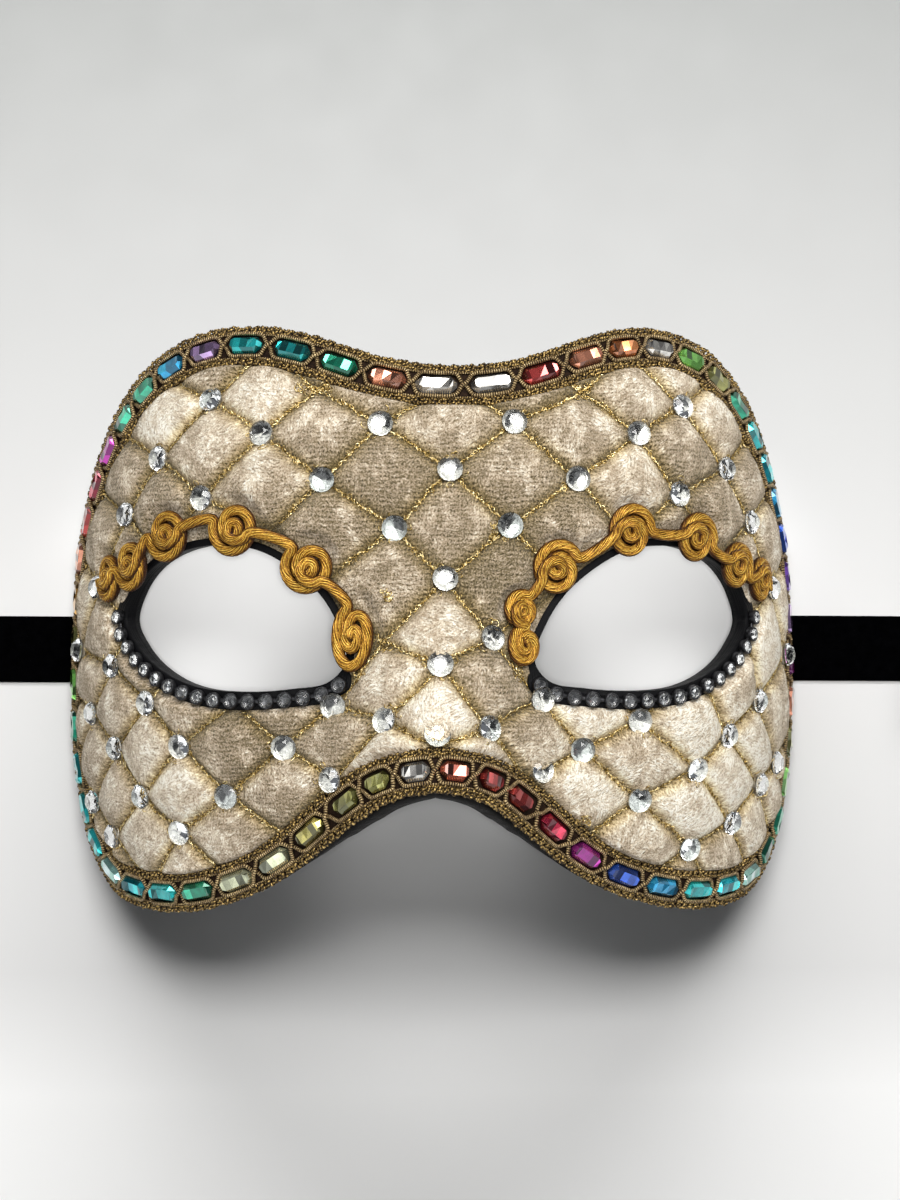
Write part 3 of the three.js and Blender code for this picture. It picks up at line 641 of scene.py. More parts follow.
def glass_material():
    t = Tree("clear_crystal")
    t.set(Base_Color=(0.98, 0.985, 0.975, 1), Transmission_Weight=1.0, IOR=1.56)
    grime = t.noise(t.object_place(), 900, 2, 0.5)
    t.set(Roughness=t.levels(grime, 0.55, 0.8, 0.0, 0.06))
    return t.material


velvet = velvet_material()
# Gold thread whose colour speckles from dark olive to bright gold: painted shade and glints along the
# thread
thread = speckled("gold_thread", (1500, 2, 0.7),
                  [(0.38, (0.085, 0.050, 0.010)), (0.5, (0.55, 0.37, 0.11)),
                   (0.61, (1.0, 0.86, 0.50))], (0.5, 0.22), Metallic=0.85)
gimp_gold = cord_material("gimp_gold", (0.10, 0.032, 0.002), (0.50, 0.245, 0.018),
                          (1.0, 0.70, 0.15), 0.55, 0.36, 6.0, 3.0, 0.14)
braid_cord = cord_material("braid_cord", (0.012, 0.006, 0.002), (0.19, 0.115, 0.042),
                           (0.86, 0.68, 0.36), 0.5, 0.34, 0.52, 0.0, 0.16)
braid_edging = cord_material("braid_edging", (0.008, 0.004, 0.001), (0.115, 0.068, 0.018),
                             (0.84, 0.58, 0.20), 0.5, 0.36, 0.85, 1.0, 0.2)
braid_ground = speckled("braid_ground", (1800, 3, 0.6),
                        [(0.3, (0.005, 0.0025, 0.0015)), (0.7, (0.024, 0.012, 0.006))],
                        0.8, (0.12, 0.7), Specular_IOR_Level=0.1)
binding_satin = black_material("binding_satin", (0.0014, 0.0014, 0.0017), 0.02, 0.35, 0.46, 0.10)
ribbon_satin = black_material("ribbon_satin", (0.0004, 0.0004, 0.0005), 0.0, 0.3, 0.6, 0.0)
card = card_material()
gem_glass = gem_material()
crystal = glass_material()
foil = speckled("silver_foil", (900, 2, 0.5),
                [(0.3, (0.46, 0.465, 0.45)), (0.7, (0.68, 0.68, 0.66))], (0.18, 0.34),
                tinted=True, Metallic=0.5)
cup_metal = speckled("black_metal_cup", (1400, 3, 0.6),
                     [(0.35, (0.012, 0.012, 0.013)), (0.75, (0.07, 0.07, 0.075))], (0.25, 0.45),
                     Metallic=0.7)
glue = speckled("clear_glue", (700, 3, 0.6),
                [(0.3, (0.20, 0.16, 0.10)), (0.7, (0.42, 0.36, 0.26))], 0.25, (0.15, 0.5),
                Coat_Weight=0.5)


# Shell: a plate in rings round each eye opening, cut flat where it meets the table
def reach(loop, angles):
    """Distance from the eye's centre to the furthest crossing of a loop, for each direction."""
    a = loop - EYE_CENTRE
    edge = np.roll(loop, -1, 0) - loop
    best = np.zeros(len(angles))
    for k, angle in enumerate(angles):
        d = np.array([math.cos(angle), math.sin(angle)])
        turn = d[0] * edge[:, 1] - d[1] * edge[:, 0]
        turn = np.where(np.abs(turn) < 1e-9, 1e-9, turn)
        far = (a[:, 0] * edge[:, 1] - a[:, 1] * edge[:, 0]) / turn
        share = (a[:, 0] * d[1] - a[:, 1] * d[0]) / turn
        hits = far[(share >= 0) & (share < 1) & (far > 0)]
        best[k] = hits.max() if len(hits) else 0
    return best


def shell_edge():
    """The shell's outline: a little past the edge where it rests, and let in for the ribbons."""
    at = np.linspace(0, edge_rail.length, 1200, endpoint=False)
    p = edge_rail.read(at)
    near_rest = (np.abs(p[:, 0]) > 100) * (1 - smoothstep(np.abs(p[:, 1] - REST_MIDDLE_Y), 20, 27))
    notch = 1 - smoothstep(np.abs(p[:, 1] - RIBBON_Y), 8.4, 9.4)
    out = 0.2 + 1.8 * near_rest - 2.4 * notch * (np.abs(p[:, 0]) > 100)
    return edge_rail.read(at, -out)


SHELL_RINGS = 44
MIDDLE_GAP = 0.008


def make_shell():
    """Each half is a fan of rings from its eye opening to the outline, joined along the middle."""
    outer = shell_edge()
    opening = eye_rail.read(np.linspace(0, eye_rail.length, 480, endpoint=False), 0.9)
    angles = np.concatenate([np.linspace(math.pi * 0.5, math.pi * 1.5, 200, endpoint=False),
                             np.linspace(math.pi * 1.5, math.pi * 2.5, 120, endpoint=False)])
    brow = math.atan2(BROW_LINE[0][1] - EYE_CENTRE[1], -EYE_CENTRE[0])
    nose = math.atan2(CHEEK_LINE[-1][1] - EYE_CENTRE[1], -EYE_CENTRE[0]) + 2 * math.pi
    for angle in (brow, nose):
        angles = np.append(angles[np.abs(angles - angle) > MIDDLE_GAP], angle)
    angles = np.sort(angles)
    inner_reach = reach(opening, angles)
    outer_reach = reach(outer, angles)
    facing = np.cos(angles) < 0
    middle = np.where(facing, -EYE_CENTRE[0] / np.minimum(np.cos(angles), -1e-6), 1e9)
    on_middle = facing & (middle <= outer_reach * 1.0001)
    outer_reach = np.where(on_middle, middle, outer_reach)
    share = np.linspace(0, 1, SHELL_RINGS)[:, None]
    r = inner_reach + (outer_reach - inner_reach) * share
    s = EYE_CENTRE[0] + np.cos(angles) * r
    s[-1, on_middle] = 0
    y = EYE_CENTRE[1] + np.sin(angles) * r
    n = len(angles)
    shell = bmesh.new()
    hand_laid = 0.10 * np.sin(s * 0.21 + 2 * np.sin(y * 0.13))
    beside = [(c, (c + 1) % n) for c in range(n)]
    for side in (1, -1):
        top, low = ([[shell.verts.new(q) for q in row] for row in face_point(side * s, y, height)]
                    for height in (SHELL_OUTSIDE, SHELL_INSIDE + hand_laid))
        for k in range(SHELL_RINGS - 1):
            for c, m in beside:
                shell.faces.new((top[k][c], top[k][m], top[k + 1][m], top[k + 1][c]))
                shell.faces.new((low[k][c], low[k + 1][c], low[k + 1][m], low[k][m]))
        for c, m in beside:
            shell.faces.new((low[0][c], low[0][m], top[0][m], top[0][c]))
            if not (on_middle[c] and on_middle[m]):
                shell.faces.new((top[-1][c], top[-1][m], low[-1][m], low[-1][c]))
    bmesh.ops.remove_doubles(shell, verts=shell.verts, dist=1e-4)
    cut = bmesh.ops.bisect_plane(shell, geom=shell.verts[:] + shell.edges[:] + shell.faces[:],
                                 plane_co=(0, 0, 0), plane_no=(0, 0, 1), clear_inner=True)
    rim = [e for e in cut["geom_cut"] if isinstance(e, bmesh.types.BMEdge)]
    bmesh.ops.holes_fill(shell, edges=rim, sides=0)
    bmesh.ops.recalc_face_normals(shell, faces=shell.faces)
    shell.verts.ensure_lookup_table()
    shell.verts.index_update()
    points = np.array([v.co[:] for v in shell.verts])
    faces = [[v.index for v in f.verts] for f in shell.faces]
    shell.free()
    build = Build()
    build.add(points, faces, np.c_[points[:, 0] * 1.2, points[:, 1], points[:, 2]])
    return make("papier_mache_shell", build, card, True, ["mask_shell"])


# Velvet: a fine sheet raised into pillows between the seams
VELVET_STEP = 0.54
VELVET_UNDER_TRIM = -1.05
VELVET_UNDER_BRAID = 5.2
PILLOW_SIDE = 17


def pillow(u, v):
    return (16 * u * (1 - u) * v * (1 - v)) ** 0.58


def seam_gap(u, v):
    """About how many millimetres a place in a pillow is from the nearest seam."""
    return np.minimum(np.minimum(u, 1 - u), np.minimum(v, 1 - v)) * PILLOW_SIDE


def cell_places(points):
    """For each point the pillow it is in and its place (u, v) within it."""
    u = np.full(len(points), 0.5)
    v = np.full(len(points), 0.5)
    cell = np.full(len(points), -1)
    corners = []
    for (i, j) in NODES:
        ring = [(i, j), (i + 1, j + 1), (i - 1, j + 1), (i, j + 2)]
        if all(k in NODES for k in ring):
            corners.append([NODES[k] for k in ring])
    for number, (a, b, c, d) in enumerate(corners):
        box = np.array([a, b, c, d])
        near = np.where((points >= box.min(0) - 0.1).all(1) & (points <= box.max(0) + 0.1).all(1))[0]
        if not len(near):
            continue
        p = points[near]
        x, w = np.full(len(near), 0.5), np.full(len(near), 0.5)
        for _ in range(8):
            at = (a * ((1 - x) * (1 - w))[:, None] + b * (x * (1 - w))[:, None]
                  + c * ((1 - x) * w)[:, None] + d * (x * w)[:, None])
            dx = (b - a) * (1 - w)[:, None] + (d - c) * w[:, None]
            dw = (c - a) * (1 - x)[:, None] + (d - b) * x[:, None]
            gap = p - at
            area = dx[:, 0] * dw[:, 1] - dx[:, 1] * dw[:, 0]
            area = np.where(np.abs(area) < 1e-6, 1e-6, area)
            x = np.clip(x + (gap[:, 0] * dw[:, 1] - gap[:, 1] * dw[:, 0]) / area, -0.2, 1.2)
            w = np.clip(w + (dx[:, 0] * gap[:, 1] - dx[:, 1] * gap[:, 0]) / area, -0.2, 1.2)
        inside = (x >= -1e-6) & (x <= 1 + 1e-6) & (w >= -1e-6) & (w <= 1 + 1e-6)
        here = near[inside]
        u[here], v[here], cell[here] = np.clip(x[inside], 0, 1), np.clip(w[inside], 0, 1), number
    return u, v, cell, len(corners)


def wave_noise(points, scale, seed, terms=7):
    """A smooth random field made of a few crossed waves, about -1 to 1."""
    r = np.random.default_rng(seed)
    total = np.zeros(len(points))
    for _ in range(terms):
        angle, phase = r.uniform(0, 2 * math.pi, 2)
        k = r.uniform(0.6, 1.5) * 2 * math.pi / scale
        bend = 0.6 * np.sin(points[:, 0] * k * 0.43 + phase)
        total += np.sin(k * (points[:, 0] * math.cos(angle) + points[:, 1] * math.sin(angle))
                        + phase * 3 + bend)
    return total / terms**0.5


def pressed(points):
    """1 under the gimp, where it holds the velvet flat, and 0 well clear of it."""
    flat = np.zeros(len(points))
    for side, rosettes in ((-1, LEFT_ROSETTES), (1, RIGHT_ROSETTES)):
        there = points * np.array([side, 1])
        for s, y, wide, tall in rosettes:
            q = np.hypot((there[:, 0] - s) / (wide + 0.2), (there[:, 1] - y) / (tall + 0.2))
            flat = np.maximum(flat, 1 - smoothstep(q, 0.92, 1.4))
        for a, b in zip(rosettes, rosettes[1:]):
            a, b = np.array(a[:2]), np.array(b[:2])
            share = np.clip((there - a) @ (b - a) / ((b - a) @ (b - a)), 0, 1)
            far = np.linalg.norm(there - (a + share[:, None] * (b - a)), axis=1)
            flat = np.maximum(flat, 1 - smoothstep(far, 1.4, 4.0))
    return flat


def velvet_height(points):
    """The velvet's height over the plain face, with each point's pillow and its two distances."""
    u, v, cell, cells = cell_places(points)
    fullness = np.random.default_rng(11).uniform(0.84, 1.12, cells + 1)[cell]
    seam = seam_gap(u, v)
    height = PUFF_HEIGHT * fullness * pillow(u, v) * smoothstep(seam, 0.1, 1.7) * (cell >= 0)
    along = np.where(np.minimum(u, 1 - u) < np.minimum(v, 1 - v), v, u) * PILLOW_SIDE
    pucker = np.sin(along * 2 * math.pi / 2.7 + 2.5 * wave_noise(points, 9, 3))
    height += 0.10 * pucker * np.exp(-seam / 2.2) * smoothstep(seam, 0, 0.8)
    height += 0.06 * wave_noise(points, 5.0, 5) * smoothstep(seam, 0, 2)
    height += 0.035 * wave_noise(points, 2.3, 6) * smoothstep(seam, 0, 1.5)
    height *= 1 - pressed(points)
    depth = edge_depth(points)
    gap = eye_gap(points)
    upper = upper_rim(on_right(points))
    start = 3.2 - 1.4 * upper
    rise = smoothstep(gap, start, start + 2.6)
    under = np.where(upper > 0.5, -0.32, VELVET_UNDER_TRIM)
    height = under + (height - under) * rise
    hidden = smoothstep(gap, 0.8, 2.0)
    height = VELVET_UNDER_TRIM + (height - VELVET_UNDER_TRIM) * hidden
    tuck = smoothstep(depth, BRAID_WIDTH - 0.7, BRAID_WIDTH + 1.1)
    return VELVET_UNDER_TRIM + (height - VELVET_UNDER_TRIM) * tuck, cell, depth, gap


# Patches where the velvet is darker or brighter: amount, middle, and half size across and up
TONE_PATCHES = [
    (-0.09, 4, 22, 42, 17), (-0.10, -40, 27, 12, 12), (-0.10, 0, 2, 16, 12), (0.30, 0, -24, 15, 15),
    (0.30, 60, -42, 34, 24), (0.15, -64, -40, 30, 18), (0.24, -42, 40, 17, 12),
    (0.20, 56, 46, 24, 14), (0.20, 29, -36, 12, 11), (0.13, -24, -35, 12, 10),
    (0.11, 31, 37, 20, 10), (-0.06, -84, 38, 12, 14), (0.10, -95, -10, 24, 60),
    (0.14, 95, -5, 24, 60), (-0.05, -40, -44, 30, 20)]


def make_velvet():
    s = np.arange(-118, 118, VELVET_STEP)
    y = np.arange(-73, 64, VELVET_STEP)
    grid = np.stack(np.meshgrid(s, y, indexing="ij"), -1).reshape(-1, 2)
    height, cell, depth, gap = velvet_height(grid)
    keep = ((depth > VELVET_UNDER_BRAID) & (gap > 1.0)).reshape(len(s), len(y))
    # How the pile lies, from brushed down and dark to crushed flat and bright, with painted shade
    # added beside the braid, along the seams and round the crossings
    pile_tone_and_shade = np.full(len(grid), 0.44)
    for amount, middle, level, wide, tall in TONE_PATCHES:
        far = ((grid[:, 0] - middle) / wide) ** 2 + ((grid[:, 1] - level) / tall) ** 2
        pile_tone_and_shade += amount * np.exp(-far)
    pile_tone_and_shade += np.random.default_rng(23).normal(0, 0.07, cell.max() + 2)[cell]
    # Painted shade where the velvet tucks under the braid
    pile_tone_and_shade -= 0.12 * np.exp(-np.maximum(depth - BRAID_WIDTH, 0) / 1.2)
    u, v, _, _ = cell_places(grid)
    seam = seam_gap(u, v)
    # Painted shade in the seam valleys between the pillows
    pile_tone_and_shade -= 0.36 * np.exp(-((seam / 1.0) ** 1.5))
    # Painted shade round each crossing, where the pillows meet
    corner = np.full(len(grid), 1e9)
    for spot in NODES.values():
        corner = np.minimum(corner, np.hypot(grid[:, 0] - spot[0], grid[:, 1] - spot[1]))
    pile_tone_and_shade -= 0.20 * np.exp(-((corner / 3.4) ** 2))
    points = face_point(grid[:, 0], grid[:, 1], height)
    quads = keep[:-1, :-1] & keep[1:, :-1] & keep[:-1, 1:] & keep[1:, 1:]
    used = np.zeros(keep.shape, bool)
    for rows in (slice(None, -1), slice(1, None)):
        for columns in (slice(None, -1), slice(1, None)):
            used[rows, columns] |= quads
    number = np.full(used.size, -1)
    number[used.ravel()] = np.arange(used.sum())
    number = number.reshape(used.shape)
    a, b = np.where(quads)
    faces = np.stack([number[a, b], number[a + 1, b], number[a + 1, b + 1], number[a, b + 1]], -1)
    kept = used.ravel()
    build = Build()
    # Painted shade in the seam valleys, darker and tinted olive towards each seam
    seam_shade_tint = np.exp(-((seam / 1.7) ** 2))[:, None] * [0.0, 0.07, 0.36]
    build.add(points[kept], faces.tolist(), np.c_[grid[kept], pile_tone_and_shade[kept]], 1 - seam_shade_tint[kept])
    return make("quilted_velvet", build, velvet, True, ["velvet_cover"])


# Stitching: a loose gold thread in every seam, with curls where the seams cross
THREAD_STEP = 0.3
THREAD_TURN = 1.5
THREAD_RADIUS = 0.14
LOOP_RADIUS = 0.115


def noisy_line(length, scale, amount, seed):
    """A soft random wandering, read at each step of the thread along a length."""
    n = max(int(length / scale) + 4, 5)
    knots = np.random.default_rng(seed).normal(0, amount, n)
    x = np.arange(0, length + THREAD_STEP, THREAD_STEP) / scale
    k = np.minimum(x.astype(int), n - 2)
    f = smoothstep(x - k, 0, 1)
    return knots[k] * (1 - f) + knots[k + 1] * f


def visible(points, margin=0.0):
    """Whether the velvet shows at each point, clear of the braid, the bindings and the gimp."""
    depth = edge_depth(points)
    gap = eye_gap(points)
    upper = upper_rim(on_right(points))
    return (depth > BRAID_WIDTH - 0.6 + margin) & (gap > 4.0 + 3.0 * upper + margin)


def crossings_above(i, j):
    """The next crossings up the two seams that start at a crossing."""
    return [NODES[end] for end in ((i + 1, j + 1), (i - 1, j + 1)) if end in NODES]


def make_stitching():
    """Two twisted strands along each seam, where it shows."""
    build = Build()
    seams = [(start, end) for key, start in NODES.items() for end in crossings_above(*key)]
    for seed, (start, end) in enumerate(seams, 101):
        length = math.dist(start, end)
        at = np.arange(0, length + THREAD_STEP, THREAD_STEP)
        at = at[at <= length]
        share = at / length
        along = (end - start) / length
        across = np.array([-along[1], along[0]])
        calm = np.abs(np.sin(np.pi * share)) ** 0.5
        bow = noisy_line(length, 6.0, 0.22, seed + 7000)[:len(at)] * calm
        line = start + (end - start) * share[:, None] + across * bow[:, None]
        shown = np.where(visible(line))[0]
        if len(shown) < 4:
            continue
        seen = slice(shown[0], shown[-1] + 1)
        line, at = line[seen], at[seen]
        for strand in (0, 1):
            angle = at * 2 * math.pi / THREAD_TURN + strand * math.pi + seed
            stray = noisy_line(length, 0.8, 0.20, seed + 50 * strand)[seen]
            wide = line + across * (0.20 * np.cos(angle) + stray)[:, None]
            high = velvet_height(wide)[0] + 0.17 + 0.11 * np.sin(angle)
            points, ups = on_face(wide, high)
            tube(build, points, ups, THREAD_RADIUS, 4)
    return make("gold_stitching", build, thread)


# Tufts of loose thread: place, spread across and up, and number of loops
TUFTS = [(-29.5, 46.2, 3.6, 1.0, 22), (29.8, 46.5, 2.2, 1.0, 12), (32, -48.5, 2.0, 1.4, 20),
         (10.2, 15.0, 0.7, 2.0, 10), (-17.2, -15.6, 1.1, 1.6, 12), (16.4, -15.4, 1.3, 2.2, 18),
         (-11.8, 0.5, 0.8, 1.6, 8), (-19, -42.5, 2.0, 1.0, 8), (0, -37.4, 3.0, 0.8, 8)]


def thread_loop(build, r, centre, size):
    """One loose loop or hook of gold thread lying on the velvet."""
    lean, begin = r.uniform(0.2, 1.3), r.uniform(0, 2 * math.pi)
    turn = begin + np.linspace(0, r.uniform(2.4, 6.2), 11)
    flat, skew = r.uniform(0.45, 0.95), r.uniform(0, math.pi)
    ring = np.c_[np.cos(turn), np.sin(turn) * flat] * size
    ring = centre + ring @ np.array([[math.cos(skew), math.sin(skew)],
                                     [-math.sin(skew), math.cos(skew)]])
    high = velvet_height(ring)[0] + 0.10 + 0.32 * lean * (0.5 + 0.5 * np.sin(turn - begin))
    points, ups = on_face(ring, high)
    tube(build, points, ups, LOOP_RADIUS, 4)


def make_curls():
    """Loops and frayed ends of the gold thread along the seams and at their crossings."""
    build = Build()
    r = random.Random(5)
    for (i, j), spot in NODES.items():
        if not visible(spot[None], 0.3)[0]:
            continue
        bare = not has_stone(i, j)
        for _ in range(9 if bare else 5):
            angle = r.uniform(0, 2 * math.pi)
            far = r.uniform(0.2, 2.2) if bare else r.uniform(2.7, 3.6)
            thread_loop(build, r, spot + far * np.array([math.cos(angle), math.sin(angle)]),
                        r.uniform(0.35, 0.85))
        for end in crossings_above(i, j):
            for _ in range(6):
                share = r.uniform(0.16, 0.84)
                beside = spot + (end - spot) * share + np.array([r.gauss(0, 0.22), r.gauss(0, 0.22)])
                if visible(beside[None], 0.3)[0]:
                    thread_loop(build, r, beside, r.uniform(0.22, 0.5))
    for s, y, wide, tall, count in TUFTS:
        for _ in range(count):
            centre = np.array([s + r.uniform(-wide, wide), y + r.uniform(-tall, tall)])
            thread_loop(build, r, centre, r.uniform(0.4, 0.95))
    return make("gold_curls", build, thread)


# Glued stones
def stone_solid(foils, glass, place, radius, low, height, turn, table):
    """A round flat-backed stone: a faceted glass crown over a dish of foil."""
    step = math.pi / 8
    crown = ((table, 1, 8, 2, 0), (0.78, 0.68, 8, 2, 1), (1, 0.22, 16, 1, 0), (0.985, 0, 16, 1, 0))
    points = [polar(place, q * radius, turn + (k * every + first) * step, low + z * height)
              for q, z, count, every, first in crown for k in range(count)]
    faces = [list(range(8))]
    for k in range(8):
        faces += [[k, 8 + k, (k + 1) % 8], [k, 8 + (k + 7) % 8, 16 + 2 * k, 8 + k],
                  [8 + k, 16 + 2 * k, 17 + 2 * k], [8 + k, 17 + 2 * k, 16 + (2 * k + 2) % 16]]
    for k in range(16):
        n = (k + 1) % 16
        faces.append([16 + k, 32 + k, 32 + n, 16 + n])
    faces.append([32 + k for k in range(16)][::-1])
    glass.add(points, faces)
    # Foil behind the glass, pleated in wedges whose tints are painted reflection: dark towards the
    # top of the stone, bright towards the bottom, the rim and back a flat grey
    dish = [(0.0, -0.62)] + [(0.55, -0.44 + 0.05 * (-1) ** k) for k in range(16)]
    dish += [(0.985, -0.03)] * 16 + [(0.985, -0.2)] * 16 + [(0.0, -0.85)]
    points = [polar(place, q * radius, turn + (m - 1) * step, low + z)
              for m, (q, z) in enumerate(dish)]
    # The painted reflection is cool in some stones and warm in the rest
    lit = (0.84, 0.88, 0.88) if int(turn * 1000) % 3 == 0 else (1.0, 0.99, 0.96)
    faced, deep = 0.7 * math.sin(9 * turn), 0.7 * math.sin(23 * turn)
    for k in range(16):
        n = (k + 1) % 16
        a = turn + (k + 0.5) * step
        outer_shade = 0.55 - 0.75 * math.sin(a + faced)
        inner_shade = 0.45 - 0.95 * math.sin(a + 1.4 * deep) + 0.35 * deep
        for shade, face in ((inner_shade, [0, 1 + k, 1 + n]),
                            (outer_shade, [1 + k, 17 + k, 17 + n, 1 + n]),
                            (0.5, [17 + k, 33 + k, 33 + n, 17 + n]), (0.4, [33 + k, 49, 33 + n])):
            shade = min(1.0, max(0.02, shade + 0.12 * math.sin(7.3 * k + 31 * turn)))
            foils.add([points[m] for m in face], [list(range(len(face)))], None,
                      np.array(lit) * shade)


def local_frame(spot, tilt):
    """A place on the face with its way across, up and out, the last tilted a little."""
    step = np.array([0.5, 0])
    across = unit(seam_point(*(spot + step)) - seam_point(*(spot - step)))
    normal = unit(face_normal(*spot) + across * tilt[0] + np.array([0, 1, 0]) * tilt[1])
    across = unit(across - normal * across.dot(normal))
    return seam_point(*spot), across, np.cross(normal, across), normal


# Open crossings that have no stone in the photo
NO_STONE = {(-3, 1), (3, 1), (-2, -2), (2, -2)}


def has_stone(i, j):
    spot = NODES[i, j][None]
    upper = float(upper_rim(on_right(spot))[0])
    clear = edge_depth(spot)[0] > BRAID_WIDTH + 0.6 and eye_gap(spot)[0] > 4.2 + 4.6 * upper
    return clear and (i, j) not in NO_STONE


STONE_RADIUS = 2.8
STONE_LOW = 1.1
STONE_HEIGHT = 1.55
STONE_TABLE = 0.52
GLUE_UNDER_STONE = 0.92
# Crossings so near the braid that their stones sit just inside it, a little raised
TUCKED = [(0, 6), (2, 6)]
TUCKED_LIFT = 0.5


def stone_spots():
    """Each stone's column, its place on the face and how far it is lifted off the crossing."""
    for (i, j), spot in NODES.items():
        if has_stone(i, j):
            depth = edge_depth(spot[None])[0]
            crowd = 1 - float(smoothstep(depth, BRAID_WIDTH + 1.0, BRAID_WIDTH + 2.8))
            yield i, spot, 0.45 * crowd
    for i, j in TUCKED:
        spot = NODES[i, j]
        right, left, above, below = edge_depth(spot + np.array([[1, 0], [-1, 0], [0, 1], [0, -1]]))
        inward = np.array([right - left, above - below]) / math.hypot(right - left, above - below)
        far = BRAID_WIDTH + STONE_RADIUS - edge_depth(spot[None])[0]
        yield i, spot + inward * far, TUCKED_LIFT


def make_stones():
    glass, foils, dabs = Build(), Build(), Build()
    r = random.Random(3)
    for i, spot, lift in stone_spots():
        place = local_frame(spot, (r.gauss(0, 0.05), r.gauss(0, 0.05)))
        low = STONE_LOW + lift
        stone_solid(foils, glass, place, STONE_RADIUS, low, STONE_HEIGHT,
                    r.uniform(0, math.pi / 4), STONE_TABLE)
        bed = low - GLUE_UNDER_STONE
        points = [polar(place, q * (1 + 0.10 * math.sin(3 * a + i)), a, z)
                  for q, z in ((2.5, bed), (2.3, bed * 0.6), (1.6, bed * 0.2), (0.7, -0.1))
                  for a in np.arange(14) * math.pi / 7]
        faces = grid_faces(4, 14, True) + end_faces(4, 14)
        dabs.add(points, [f[::-1] for f in faces])
    nodes = [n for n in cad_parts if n.startswith("stone_")]
    make("stone_foils", foils, foil, False, nodes)
    make("stone_crystals", glass, crystal, False).visible_shadow = False
    make("stone_glue", dabs, glue)


# Jewelled braid
GEM_COLOURS = {
    "silver": (0.42, 0.40, 0.37), "copper": (0.62, 0.25, 0.15), "red": (0.36, 0.035, 0.03),
    "crimson": (0.50, 0.02, 0.06), "magenta": (0.42, 0.03, 0.32), "violet": (0.20, 0.08, 0.45),
    "blue": (0.03, 0.12, 0.62), "azure": (0.02, 0.33, 0.60), "cyan": (0.02, 0.50, 0.60),
    "teal": (0.01, 0.42, 0.42), "mint": (0.40, 0.74, 0.64), "green": (0.01, 0.30, 0.17),
    "lime": (0.20, 0.52, 0.10), "pale": (0.66, 0.68, 0.45), "olive": (0.33, 0.32, 0.09),
    "amber": (0.48, 0.27, 0.07), "orange": (0.58, 0.19, 0.06), "lilac": (0.42, 0.27, 0.50),
    "straw": (0.46, 0.40, 0.11), "rust": (0.42, 0.10, 0.06),
}
# By gem, clockwise from the middle of the brow
GEM_ROW = (
    "silver red copper orange silver lime olive green teal cyan azure blue violet lilac "
    "magenta copper olive lime green "
    "green mint cyan teal azure blue magenta crimson red red rust "
    "silver olive olive straw pale pale green teal cyan mint "
    "teal teal teal green lime olive amber copper red crimson magenta "
    "green green azure lilac teal teal green copper silver").split()
GEM_WIDTH = 4.1
GEM_HEIGHT = 1.75
CORD_SWING = 2.6
CORD_RADIUS = 0.46
SIDE_CORD_RADIUS = 0.27
EDGING_RADIUS = 0.38
EDGING_LOOPS = 6
BRAID_MIDDLE = 4.75
# Section of the braid's tape, as distance in from the edge and height
TAPE_SECTION = [(0.5, -0.82), (8.9, -0.82), (8.95, -0.55), (8.4, -0.2), (4.7, 0.0), (1.0, -0.2),
                (0.45, -0.55)]
BRAID_WALKED = walk(edge_rail.read(edge_rail.at, BRAID_MIDDLE))


def beside_gem(number):
    """Distance along the outer edge beside a gem, or a share of the way on to the next."""
    number = np.asarray(number, float)
    numbers = [n for n, _ in GEM_PLACES]
    spots = [d for _, d in GEM_PLACES]
    whole = BRAID_WALKED[-1]
    knots = numbers + [GEM_COUNT + n for n in numbers[:2]]
    walked = np.interp(number % GEM_COUNT, knots, spots + [whole + d for d in spots[:2]])
    past = walked >= whole
    return np.interp(walked - whole * past, BRAID_WALKED, edge_rail.at) + edge_rail.length * past


def gem_solid(build, place, length, width, low, high, colour, r):
    """A long eight-sided gem whose top falls in a few crosswise facets, each tinted with painted
    reflection.
    """
    centre, along, across, normal = place
    cut = width * 0.36
    x, w = length / 2, width / 2
    outline = [(-x, -w + cut), (-x + cut, -w), (0, -w), (x - cut, -w), (x, -w + cut),
               (x, w - cut), (x - cut, w), (0, w), (-x + cut, w), (-x, w - cut)]
    stations = [-0.62, -0.2, 0.22, 0.62]
    lifts = [r.uniform(-0.30, 0.0) for _ in stations]
    # Brightness of each crosswise top facet: painted reflections, from dark to near-white glints
    shade = [r.choice((0.22, 0.7, 1.2, 1.9)) for _ in range(5)]
    tint = np.array(colour)

    def put(corners, factor):
        # A facet's tint is the gem's colour times its painted light; above 1 it also whitens as a
        # painted glint
        points = [centre + along * px + across * pw + normal * pz for (px, pw), pz in corners]
        build.add(points, [[0, 1, 2, 3]], None,
                  np.clip(tint * factor + 0.02 * max(0, factor - 1), 0, 1))

    table = w * 0.55
    near = [(-x * 0.80, -table * 0.6)] + [(x * q, -table) for q in stations]
    near += [(x * 0.80, -table * 0.6)]
    edge = near + [(px, -pw) for px, pw in near[::-1]]
    others = [q + r.uniform(-0.26, 0.12) for q in lifts]
    tops = [high - 0.12] + [high + q for q in lifts] + [high - 0.12] * 2
    tops += [high + q for q in others[::-1]] + [high - 0.12]
    bounds = list(zip(edge, tops))
    for k in range(5):
        put([bounds[k], bounds[k + 1], bounds[-2 - k], bounds[-1 - k]], shade[k])
    upper = [bounds[k] for k in (0, 1, 2, 4, 5, 6, 7, 9, 10, 11)]
    for k in range(10):
        n = (k + 1) % 10
        here, there = (outline[k], low + 0.35), (outline[n], low + 0.35)
        # Each slanted side gets a random painted reflection
        put([here, there, upper[n], upper[k]], r.choice((0.35, 0.6, 1.0, 1.6)))
        put([(outline[k], low), (outline[n], low), there, here], 0.3)


